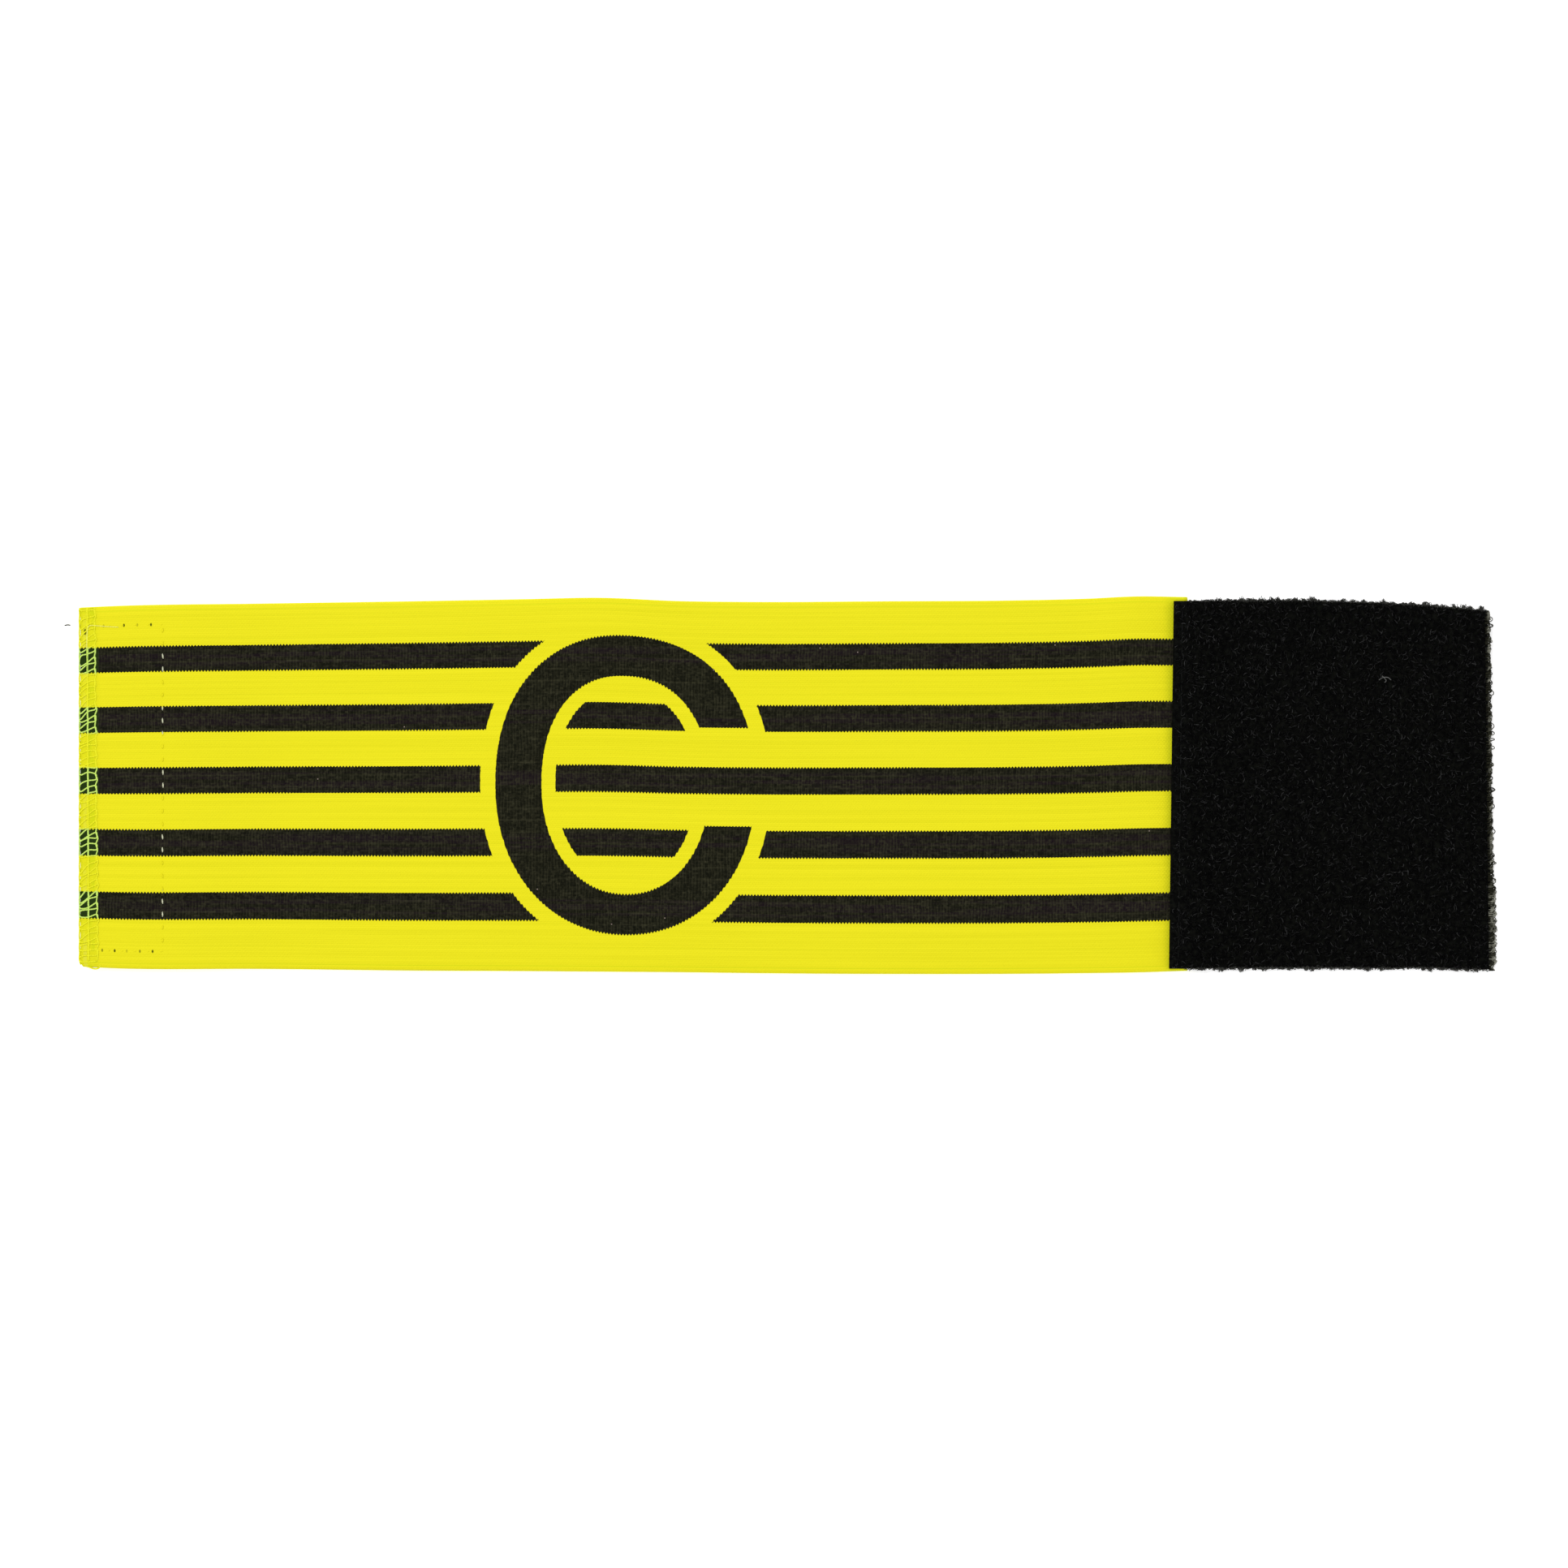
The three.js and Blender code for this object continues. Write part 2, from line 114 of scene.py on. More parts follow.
# Outlines: share along, then the middle line and the width as shares of the cloth's width.
BAND_OUTLINE = np.array([
    (0, -0.0052, 0.969), (0.03, -0.0052, 0.977), (0.16, -0.0028, 0.986), (0.3, -0.0018, 0.997),
    (0.4, 0.0002, 1.004), (0.47, 0.0012, 1.009), (0.54, -0.0038, 1.002), (0.61, -0.0063, 1.002),
    (0.73, -0.0063, 1.006), (0.84, -0.0052, 1.008), (0.91, -0.0018, 1.011), (0.955, 0.0022, 1.015),
    (1, 0.0036, 1.009),
])
PANEL_OUTLINE = np.array([
    (0, 0.0011, 1.007), (0.14, 0.0019, 1.009), (0.4, 0.003, 1.0074), (0.65, -0.0008, 1.002),
    (0.78, -0.003, 0.9954), (0.9, -0.0087, 0.9907), (1, -0.0136, 0.9836),
])
# Ripples: share along, share of the half width, their reach along and across, and height.
BAND_RIPPLES = [
    (0.47, 1, 0.1, 0.9, 1), (0.71, -1, 0.13, 0.8, 0.75), (0.31, -1, 0.1, 0.7, 0.55),
    (0.945, 1, 0.05, 0.8, 0.7),
]
PANEL_RIPPLES = [(1, 1, 0.45, 0.9, 1)]

# Weave and print
WEBBING_STATIONS = 246
SELVEDGE_BULGE = 0.12
EDGE_LEAST = 0.42
GROOVE = 0.05
END_PITCH = 0.42
TEETH = 0.32
LEAST_TEETH = 0.08
SELVEDGE_LINE = 1.05
SELVEDGE_LINE_HALF = 0.12
PICK_RELIEF = 0.025
END_RELIEF = 0.02
PICK_TONE = 0.44
FLOAT_TONE = 0.36
FLECK_TONE = 0.22
RIB_TONE = 0.25
WEBBING_ROUGHNESS = 0.62
BACK_ROUGHNESS = 0.65
WEBBING_SHEEN = 0.004
SHEEN_ROUGHNESS = 0.4
SPECK = 0.24
SPECK_SHARE = 0.00007
CORNER_ROUND = (0.5, 1.2)
CORNER_REACH = 5

# Thread, and a direction that no thread runs in
ODD_DIRECTION = (0.31, 0.22, 0.92)
PLY_LENGTH = 0.55
PLY_RELIEF = 0.06
THREAD_ROUGHNESS = 0.5
THREAD_GLOSS = 0.04
THREAD_RADIUS = 0.19
STITCH_PITCH = 2.6
STITCH_DIP = 0.22
CUT_MARGIN = 0.15
WRAP_DROP = 0.55
LOOPER_SWAY = 0.2

# Lime overlock
NEEDLE_LINES = (1.6, 3.25)
NEEDLE_WOBBLES = (0.1, 0.5)
NEEDLE_RADII = (0.2, 0.16)
LOOPER_RADIUS = 0.155
LOOPER_PAST_CUT = (0.26, 0.2)
OVERLOCK_LEAN = 0.1
OVERLOCK_SHIFT = 0.35
# The slants of a stitch's three strokes: how far each one wanders, and about what
OVERLOCK_SLANTS = ((0.8, -0.55), (0.5, -0.6), (0.5, -0.6))
OVERLOCK_UNEVEN = 0.35
GAP_IN_OVERLOCK = (1, 34.6)
GAP_SIZE = (0.3, 0.7)
OVERLOCK_CORNER_SLANT = 0.3
TOP_THREAD_FROM_SIDE = 0.1
UNDER_THREAD_FROM_SIDE = 0.3
# The chain of thread along the cut: its pitch, and each link's reach and drop in turn
EDGE_CHAIN_PITCH = 1.3
EDGE_CHAIN_OUT = (0.22, 0.28)
EDGE_CHAIN_DROP = (0.7, 0.35)
EDGE_CHAIN_ENDS = (0.4, 0.2)
# The chain's end round the lower corner: along, past the corner, and rise
CHAIN_END = (
    (0.9, 0.05, -0.1), (1.6, -0.1, -0.2), (2.3, -0.35, -0.3), (3.2, -0.4, -0.3), (3.9, -0.1, -0.2),
    (4.3, 0.5, 0.02),
)

# Box stitch
BOX_STITCH_START = 6.1
BOX_STITCH_ALONG = 17.8
BOX_STITCH_PITCH = 2.84
BOX_STITCH_LENGTH = 1.3
BOX_STITCH_RADIUS = 0.17
BOX_STITCH_LIFT = 0.06
BOX_STITCH_WANDER = 0.08
BOX_STITCH_SLANT = 0.12
BOX_ROW_SINK = 0.13
BOX_ROWS = (35.75, -36.2)
# Needle holes that show: their places along each row, and how dark each is
UPPER_HOLES = ((5, 0.45), (9.4, 1), (12.3, 0.4), (15.25, 1))
LOWER_HOLES = ((4.7, 0.7), (7.4, 1), (10, 0.35), (12.85, 0.7), (15.6, 1))
HOLE_SIZE = (0.22, 0.37)

# Panel's seam
SEAM_ALONG = 1.7
SEAM_FROM_SIDE = 1
SEAM_STITCH_LIFT = 0.1
SEAM_STITCH_HALF = 1.05
SEAM_STITCH_RADIUS = 0.15

# Panel's ground cloth
PANEL_STATIONS = 100
PANEL_SIDES = 113
NEAR_CUT_OUT = 0.2
NEAR_CUT_DROP = 0.12
GROUND_FROM_CUT = 0.1
GROUND_LUMPS = 0.045

# Pile
BARE_STRIP = 3.3
PILE_HEIGHT = 0.62
PILE_LOOPS = 12000
PILE_STRAYS = 5200
PILE_PIECES = 3
FIBRE_RADIUS = 0.06
LOOP_SINK = 0.12
# Widths of the loops, and their heights as shares of PILE_HEIGHT
LOOP_WIDTHS = (0.4, 0.9)
LOOP_HEIGHTS = np.array([0.45, 1])
LOOP_LEAN = 0.22
STRAY_LOOP_WIDTHS = (0.4, 1.2)
STRAY_LOOP_HEIGHT = 1.1
STRAY_LOOP_THICKNESS = 1.15
LOOPS_FROM_CUTS = (0.4, 0.5)
LOOPS_FROM_SIDE = 0.25
LOOPS_UNDER_STITCHES = 0.7
LOOPS_ON_STRIP = 0.4
TUFT_GAPS = (0.8, 3.2)
FRINGE_LOOPS = 520
FRINGE_RADIUS = 0.065
# Fringe: the side, and how far its even part and its tufts reach
FRINGE_SIDES = ((1, 0.3, 1.2), (-1, 0.5, 1))

# Threads round the panel's far cut
CUT_INSET = 0.6
PANEL_OVERLOCK_SLANT = 0.6
PANEL_NEEDLE_LINES = (1.5, 3.2)
PANEL_LOOPER_RADIUS = 0.12
PANEL_LOOPER_PAST_CUT = 0.3
EDGE_LOOP_PITCH = 0.9
EDGE_LOOP_RADIUS = 0.13
LOOSE_LOOP_RADIUS = 0.11
EDGE_LOOP_REACHES = (0.45, 1.4)
EDGE_LOOP_WIDTHS = (0.4, 1.5)
EDGE_LOOP_UNEVEN = 0.4
EDGE_LOOPS_PAST_SIDE = 0.15
CROWDED_PITCH = 0.95
CROWDED_FROM_CORNER = (1.6, 19)

# Hook tape
TAPE_STATIONS = 30
TAPE_SIDES = 60
TAPE_FROM_CUT = 0.05
HOOK_ROWS = 12
HOOKS_IN_ROW = 64
HOOK_RADIUS = 0.08
HOOK_UNEVEN = 0.15
HOOK_LEAN = 0.12
HOOKS_FROM_CUT = (1.4, 1.2)
HOOKS_FROM_SIDE = 1.3
HOOK_OUT = np.array([0, 0.02, 0.1, 0.28, 0.45, 0.5])
HOOK_DROP = np.array([-0.1, 0.35, 0.68, 0.82, 0.7, 0.5])

# Pixels of the photograph, each with a height in millimetres: the thread end's is over the webbing
THREAD_END_PIXELS = (
    (147, 773, 0.04), (136, 772.5, 0.05), (122, 771.5, 0.08), (113, 771, 0.14), (109.5, 774, 0.17),
    (108.6, 782, 0.17), (108.2, 800, 0.17), (108.6, 816, 0.18), (109, 834, 0.16),
)
STRAY_PIXELS = ((87, 770.5, 1.1), (84, 770, 0.9), (80, 770.5, 0.5))
LINT_PIXELS = (
    ((1698, 838, 2.75), (1703, 835, 2.9), (1709, 835, 2.9), (1713, 838, 2.75)),
    ((1702, 833, 2.8), (1705, 836, 2.95), (1707, 839, 2.8), (1705, 841, 2.7)),
)
THREAD_END_RADIUS = 0.11
STRAY_RADIUS = 0.15
LINT_RADIUS = 0.075

# Stage, in Blender's own units. LIGHT is how much brighter a cloth shows there than its colour.
LIGHT = 1.2
BACKGROUND_LIGHT = 0.9
SOFTBOX_WATTS = 20
SOFTBOX_SIDE = 0.9
SOFTBOX_PLACE = (-0.75, 0.85, 1.9)
SENSOR_WIDTH = 36
FLOOR_HALF = 3
CORNER_SIGNS = ((-1, -1), (1, -1), (1, 1), (-1, 1))
FLOOR_DROP = 0.0003
FLOOR_COLOUR = (0.95, 0.95, 0.95, 1)
FLOOR_ROUGHNESS = 0.9
FLOOR_GLOSS = 0.1
FLOOR_GLOW = 0.4
WHITE = (1, 1, 1, 1)

BAND_HALF = BAND_WIDTH / 2
PATCH_LIFT = HOOK_HEIGHT + PATCH_BASE + CLEARANCE
PANEL_START = BAND_LENGTH - PANEL_OVERLAP
PANEL_WIDTH = BAND_WIDTH - 2 * PANEL_INSET
PANEL_HALF = PANEL_WIDTH / 2
PANEL_LAP = PANEL_OVERLAP + BAND_THICKNESS
OUTERMOST_STRIPE = (STRIPE_COUNT - 1) / 2 * STRIPE_PITCH


def seen_colour(red, green, blue):
    """Blender's linear numbers for a colour as it shows, 0 to 255."""
    shares = np.array([red, green, blue]) / 255
    return tuple(np.where(shares <= 0.04045, shares / 12.92, ((shares + 0.055) / 1.055) ** 2.4)) + (1,)


def dyed(red, green, blue):
    """The cloth's own colour that shows as this one under the scene's light."""
    return tuple(part / LIGHT for part in seen_colour(red, green, blue)[:3]) + (1,)


YELLOW = dyed(240, 231, 30)
YELLOW_DEEP = dyed(233, 225, 26)
# YELLOW_GREEN is painted shade in the rib grooves and by the panel, and the green of streaks and of a
# line along each side
YELLOW_GREEN = dyed(208, 218, 18)
YELLOW_PALE = dyed(240, 231, 92)
HOLE = dyed(76, 84, 0)
INK = dyed(11, 12, 2)
INK_LIGHT = dyed(55, 54, 37)
INK_VIOLET = dyed(20, 10, 17)
INK_GREEN = dyed(34, 56, 8)
INK_SPECK = dyed(150, 134, 126)
LIME = dyed(208, 240, 116)
LIME_ON_YELLOW = dyed(244, 242, 40)
TAIL_ON_BLACK = dyed(196, 224, 92)
TAIL_ON_YELLOW = dyed(252, 250, 116)
STITCH_ON_BLACK = dyed(214, 216, 186)
PILE = dyed(7, 7, 7)
# Painted highlights on the pile's black fibres: the next two colours
PILE_LIT = dyed(38, 38, 38)
PILE_HIGHLIGHT = dyed(70, 70, 70)
STRIP = dyed(17, 18, 15)
FRINGE = dyed(76, 76, 72)
TAPE = dyed(22, 22, 24)
EDGE_THREAD = dyed(34, 34, 24)
# Painted light on the overlock loops past the panel's far cut
EDGE_THREAD_LIT = dyed(146, 146, 132)
LINT = dyed(118, 118, 116)
STRAY = dyed(80, 80, 74)
UNDYED_DARK = dyed(9, 9, 9)


# The shape of the cloths

def ease_down(value):
    value = np.clip(value, 0, 1)
    return 1 - value ** 2 * (3 - 2 * value)


def swell(value):
    return np.where(np.abs(value) < 1, np.cos(value * math.pi / 2) ** 2, 0)


def curve(table, column, along):
    """A smooth curve through one column of an outline's table."""
    x, y = table[:, 0], table[:, column]
    slopes = np.gradient(y, x)
    along = np.clip(along, x[0], x[-1])
    i = np.clip(np.searchsorted(x, along, side="right") - 1, 0, len(x) - 2)
    run = x[i + 1] - x[i]
    t = (along - x[i]) / run
    first = (1 + 2 * t) * (1 - t) ** 2 * y[i] + t * (1 - t) ** 2 * run * slopes[i]
    return first + t ** 2 * (3 - 2 * t) * y[i + 1] - t ** 2 * (1 - t) * run * slopes[i + 1]


def ripples(table, along, across):
    total = 0
    for at, side, reach, spread, height in table:
        total = total + height * swell((along - at) / reach) * swell((across - side) / spread)
    return RIPPLE * total


def edge_share(from_side, edge):
    """Thickness near a cloth's side, as a share of its full thickness."""
    round_edge = np.sqrt(1 - (1 - np.clip(from_side / edge, 0, 1)) ** 2)
    return EDGE_LEAST + (1 - EDGE_LEAST) * round_edge


def band_across(u, v):
    share = u / BAND_LENGTH
    return BAND_WIDTH * curve(BAND_OUTLINE, 1, share) + v * curve(BAND_OUTLINE, 2, share)


def band_under(u, v):
    lift = PATCH_LIFT * ease_down((u - PATCH_LENGTH) / PATCH_RUN_OUT)
    return lift + ripples(BAND_RIPPLES, u / BAND_LENGTH, v / BAND_HALF)


def past_corner(u, v):
    """How far the lower left corner is rounded off, along the webbing."""
    depth, reach = CORNER_ROUND
    from_corner = np.clip((reach - BAND_HALF - v) / reach, 0, 1)
    return depth * from_corner ** 2 * np.clip(1 - u / CORNER_REACH, 0, 1)


def band_face(u, v, side):
    """Height of the webbing's top (side 1) or underside (side -1)."""
    share = edge_share(BAND_HALF - np.abs(v), SELVEDGE)
    return band_under(u, v) + BAND_THICKNESS * (1 + side * share) / 2


def panel_place(p, v):
    share = p / PANEL_LENGTH
    lean = (1 - share) * PANEL_NEAR_LEAN + share * PANEL_FAR_LEAN
    across = PANEL_WIDTH * curve(PANEL_OUTLINE, 1, share) + v * curve(PANEL_OUTLINE, 2, share)
    return PANEL_START + p + lean * v / PANEL_HALF, across


def panel_under(p, v):
    seat = BAND_THICKNESS + CLEARANCE + band_under(np.minimum(PANEL_START + p, BAND_LENGTH), v)
    on_band = seat * ease_down((p - PANEL_LAP) / PANEL_RUN_OUT)
    from_end = PANEL_LENGTH - PANEL_OVERLOCK_WIDTH - p
    on_thread = (THREAD + CLEARANCE) * ease_down(from_end / THREAD_RUN_OUT)
    return on_band + on_thread + ripples(PANEL_RIPPLES, p / PANEL_LENGTH, v / PANEL_HALF)


def panel_base(p, v):
    """Thickness of the panel's ground cloth, below its pile."""
    from_end = PANEL_LENGTH - PANEL_OVERLOCK_WIDTH - CLEARANCE - p
    full = PANEL_THICKNESS - PILE_HEIGHT
    pinched = (full - PANEL_PINCHED + 0.2) * ease_down(from_end / PANEL_EDGE)
    return (full - pinched) * edge_share(PANEL_HALF - np.abs(v), PANEL_EDGE)


# The row frame's origin, in the solids' own millimetres
SHIFT_U = -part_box("band")[0][0] / MM
SHIFT_Y = band_across(np.linspace(0, BAND_LENGTH, 400), -BAND_HALF).min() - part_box("band")[0][1] / MM


def in_frame(u, y, z):
    """Points in metres in the row frame, from the solids' own millimetres."""
    u, y, z = np.broadcast_arrays(u, y, z)
    return np.stack([u - SHIFT_U, y - SHIFT_Y, z], axis=-1) * MM


def on_band(u, v, rise):
    return in_frame(u + past_corner(u, v), band_across(u, v), band_face(u, v, 1) + rise)


def on_panel(p, v, rise):
    u, y = panel_place(p, v)
    return in_frame(u, y, panel_under(p, v) + panel_base(p, v) + rise)


# Meshes

def add_object(name, data):
    thing = bpy.data.objects.new(name, data)
    bpy.context.scene.collection.objects.link(thing)
    return thing


class Heap:
    """Faces gathered for one piece, with a flat map that its material reads."""

    def __init__(self):
        self.points, self.corners, self.sizes, self.maps, self.slots = [], [], [], [], []
        self.count = 0

    def add_points(self, points):
        start = self.count
        self.points.append(np.reshape(points, (-1, 3)))
        self.count += len(self.points[-1])
        return start

    def add_faces(self, faces, maps, slots=0):
        """faces holds corner numbers, a row for each face; maps holds a place for each corner."""
        faces = np.asarray(faces)
        self.corners.append(faces.ravel())
        self.sizes.append(np.full(len(faces), faces.shape[1]))
        self.maps.append(np.broadcast_to(maps, (*faces.shape, 2)).reshape(-1, 2))
        self.slots.append(np.broadcast_to(slots, len(faces)))

    def build(self, name, slot, *materials):
        points, corners, sizes, maps, slots = map(
            np.concatenate, (self.points, self.corners, self.sizes, self.maps, self.slots))
        mesh = bpy.data.meshes.new(name)
        mesh.vertices.add(len(points))
        mesh.vertices.foreach_set("co", points.astype(np.float32).ravel())
        mesh.loops.add(len(corners))
        mesh.loops.foreach_set("vertex_index", corners.astype(np.int32))
        mesh.polygons.add(len(sizes))
        mesh.polygons.foreach_set("loop_start", (np.cumsum(sizes) - sizes).astype(np.int32))
        for material in materials:
            mesh.materials.append(material)
        mesh.polygons.foreach_set("material_index", slots.astype(np.int32))
        mesh.polygons.foreach_set("use_smooth", np.ones(len(sizes), bool))
        layer = mesh.uv_layers.new(name="Cloth")
        layer.uv.foreach_set("vector", maps.astype(np.float32).ravel())
        mesh.update(calc_edges=True)
        mesh.validate()
        piece = add_object(name, mesh)
        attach(piece, "root")
        return piece


def add_shell(heap, rings, maps, side_slots=0):
    """A closed body through rings of points, the first and last ring closed."""
    count, size = rings.shape[:2]
    start = heap.add_points(rings)
    corner = start + np.arange(count * size).reshape(count, size)
    beside = np.roll(corner, -1, 1)
    faces = np.stack([corner[:-1], corner[1:], beside[1:], beside[:-1]], -1)
    map_beside = np.roll(maps, -1, 1)
    places = np.stack([maps[:-1], maps[1:], map_beside[1:], map_beside[:-1]], 2)
    slots = np.broadcast_to(side_slots, (count - 1, size))
    heap.add_faces(faces.reshape(-1, 4), places.reshape(-1, 4, 2), slots.ravel())
    heap.add_faces([corner[0]], maps[:1])
    heap.add_faces([corner[-1][::-1]], maps[-1:, ::-1])


def add_tubes(heap, paths, radius, sides):
    """Closed round threads along paths of equal length. Each one's number is in its map."""
    paths = np.asarray(paths, float)
    count, length = paths.shape[:2]
    radius = np.broadcast_to(np.asarray(radius, float) * MM, (count, length))
    along = np.gradient(paths, axis=1)
    along /= np.maximum(np.linalg.norm(along, axis=2, keepdims=True), 1e-12)
    normal = np.zeros_like(paths)
    held = np.cross(along[:, 0], ODD_DIRECTION)
    for k in range(length):
        held = held - np.sum(held * along[:, k], axis=1, keepdims=True) * along[:, k]
        held = held / np.linalg.norm(held, axis=1, keepdims=True)
        normal[:, k] = held
    beside = np.cross(along, normal)
    angles = (np.arange(sides) * 2 * math.pi / sides)[:, None]
    ring = np.cos(angles) * normal[:, :, None] + np.sin(angles) * beside[:, :, None]
    start = heap.add_points(paths[:, :, None] + radius[:, :, None, None] * ring)

    steps = np.linalg.norm(np.diff(paths, axis=1), axis=2)
    run = np.concatenate([np.zeros((count, 1)), np.cumsum(steps, axis=1)], axis=1) / MM
    corner = start + np.arange(count * length * sides).reshape(count, length, sides)
    after = np.roll(corner, -1, 2)
    faces = np.stack([corner[:, :-1], after[:, :-1], after[:, 1:], corner[:, 1:]], -1)
    grid = (count, length - 1, sides)
    here = np.arange(count)[:, None, None] + (0.05 + 0.9 * np.arange(sides) / sides)
    beyond = here + 0.9 / sides
    low, high = run[:, :-1, None], run[:, 1:, None]
    places = [np.stack(np.broadcast_arrays(x, y, np.zeros(grid))[:2], -1)
              for x, y in ((low, here), (low, beyond), (high, beyond), (high, here))]
    heap.add_faces(faces.reshape(-1, 4), np.stack(places, 3).reshape(-1, 4, 2))
    caps = np.concatenate([corner[:, 0, ::-1], corner[:, -1]])
    numbers = np.tile(np.arange(count) + 0.5, 2)
    heap.add_faces(caps, np.stack([np.zeros(2 * count), numbers], -1)[:, None])


def rounded(points, steps):
    """A smooth path through the points."""
    points = np.asarray(points, float)
    held = np.concatenate([[2 * points[0] - points[1]], points, [2 * points[-1] - points[-2]]])
    a, b, c, d = held[:-3, None], held[1:-2, None], held[2:-1, None], held[3:, None]
    t = (np.arange(steps) / steps)[None, :, None]
    bend = (a - 2.5 * b + 2 * c - d / 2) * t ** 2
    path = b + (c - a) * t / 2 + bend + (1.5 * (b - c) + (d - a) / 2) * t ** 3
    return np.concatenate([path.reshape(-1, 3), points[-1:]])


def drift(count, every, reach):
    """Numbers that wander slowly between -reach and reach."""
    knots = rng.uniform(-reach, reach, count // every + 3)
    return np.interp(np.arange(count) / every, np.arange(len(knots)), knots)


# Materials

class Field:
    """A number at each point of a surface, worked out by Math nodes."""

    def __init__(self, socket):
        self.socket = socket

    def __add__(self, other):
        return calc("ADD", self, other)

    def __sub__(self, other):
        return calc("SUBTRACT", self, other)

    def __rsub__(self, other):
        return calc("SUBTRACT", other, self)

    def __mul__(self, other):
        return calc("MULTIPLY", self, other)

    def __truediv__(self, other):
        return calc("DIVIDE", self, other)

    def __pow__(self, other):
        return calc("POWER", self, other)

    def __abs__(self):
        return calc("ABSOLUTE", self)

    __radd__ = __add__
    __rmul__ = __mul__


def feed(socket, value):
    if isinstance(value, Field):
        socket.id_data.links.new(value.socket, socket)
    else:
        socket.default_value = value


def set_inputs(node, values):
    for name, value in values.items():
        node.inputs[name].default_value = value


def calc(operation, *values):
    tree = next(value.socket.id_data for value in values if isinstance(value, Field))
    node = tree.nodes.new("ShaderNodeMath")
    node.operation = operation
    for socket, value in zip(node.inputs, values):
        feed(socket, value)
    return Field(node.outputs[0])


def soft(value, low, high):
    """0 below low, 1 above high, and smooth between them."""
    node = value.socket.id_data.nodes.new("ShaderNodeMapRange")
    node.interpolation_type = "SMOOTHSTEP"
    feed(node.inputs["Value"], value)
    feed(node.inputs["From Min"], low)
    feed(node.inputs["From Max"], high)
    return Field(node.outputs["Result"])


def inside(distance):
    return soft(distance, 0.06, -0.06)


def waves(value):
    """1 at every whole number and 0 halfway between them."""
    return calc("COSINE", value * (2 * math.pi)) * 0.5 + 0.5


def flat_texture(kind, x, y):
    """A two-dimensional texture node, fed its place."""
    tree = x.socket.id_data
    place = tree.nodes.new("ShaderNodeCombineXYZ")
    feed(place.inputs[0], x)
    feed(place.inputs[1], y)
    node = tree.nodes.new(kind)
    node.noise_dimensions = "2D"
    tree.links.new(place.outputs[0], node.inputs["Vector"])
    return node


def noise(x, y, detail=2):
    node = flat_texture("ShaderNodeTexNoise", x, y)
    feed(node.inputs["Scale"], 1)
    feed(node.inputs["Detail"], detail)
    return Field(node.outputs[0])


def chance(x, y=0.0):
    """A random number from 0 to 1 for each cell of a grid of whole numbers."""
    row = calc("FLOOR", y) if isinstance(y, Field) else y
    node = flat_texture("ShaderNodeTexWhiteNoise", calc("FLOOR", x), row)
    return Field(node.outputs["Value"])


def mix(share, first, second):
    node = share.socket.id_data.nodes.new("ShaderNodeMix")
    node.data_type = "RGBA"
    feed(node.inputs[0], share)
    feed(node.inputs[6], first)
    feed(node.inputs[7], second)
    return Field(node.outputs[2])


def parts_of(socket):
    """A vector socket's separate numbers."""
    tree = socket.id_data
    node = tree.nodes.new("ShaderNodeSeparateXYZ")
    tree.links.new(socket, node.inputs[0])
    return [Field(output) for output in node.outputs]


def place_on_part(shader):
    """Where a point of the surface lies on the part, in the row frame's metres."""
    place = shader.id_data.nodes.new("ShaderNodeTexCoord")
    return parts_of(place.outputs["Object"])


def new_material(name, roughness, gloss=0.05, sheen=0.0):
    """A cloth's material, and the two numbers of its flat map."""
    material = bpy.data.materials.new(name)
    material.use_nodes = True
    tree = material.node_tree
    shader = tree.nodes["Principled BSDF"]
    set_inputs(shader, {
        "Roughness": roughness, "Specular IOR Level": gloss,
        "Sheen Weight": sheen, "Sheen Roughness": SHEEN_ROUGHNESS,
    })
    place = tree.nodes.new("ShaderNodeUVMap")
    place.uv_map = "Cloth"
    first, second = parts_of(place.outputs[0])[:2]
    return material, shader, first, second


def paint(shader, colour):
    feed(shader.inputs["Base Color"], colour)


def emboss(shader, height):
    """Fine relief, from a height in millimetres."""
    node = shader.id_data.nodes.new("ShaderNodeBump")
    feed(node.inputs["Distance"], MM)
    feed(node.inputs["Height"], height)
    feed(shader.inputs["Normal"], Field(node.outputs[0]))


def oval(u, v, growth):
    """Distance outside the letter's outer oval, or outside it grown by so much."""
    half_width, half_height = LETTER_HALF_WIDTH + growth[0], LETTER_HALF_HEIGHT + growth[1]
    above = calc("GREATER_THAN", v, 0)
    power = above * (LETTER_SQUARENESS_ABOVE - LETTER_SQUARENESS_BELOW) + LETTER_SQUARENESS_BELOW
    along = (abs(u - LETTER_ALONG) / half_width) ** power
    across = (abs(v) / half_height) ** power
    return ((along + across) ** calc("DIVIDE", 1, power) - 1) * ((half_width + half_height) / 2)


def stripe_height(v):
    """Height above the middle stripe, where the stripes lie evenly."""
    from_middle = v - STRIPES_RAISED
    return from_middle + from_middle ** 2 * (STRIPES_SAG / OUTERMOST_STRIPE ** 2)


def from_stripe(height):
    """Distance from the nearest stripe's edge, less than 0 inside it."""
    step = calc("ROUND", height / STRIPE_PITCH) * STRIPE_PITCH
    edge = abs(height - step) - STRIPE_WIDTH / 2
    return calc("MAXIMUM", edge, abs(height) - OUTERMOST_STRIPE - STRIPE_PITCH / 2)


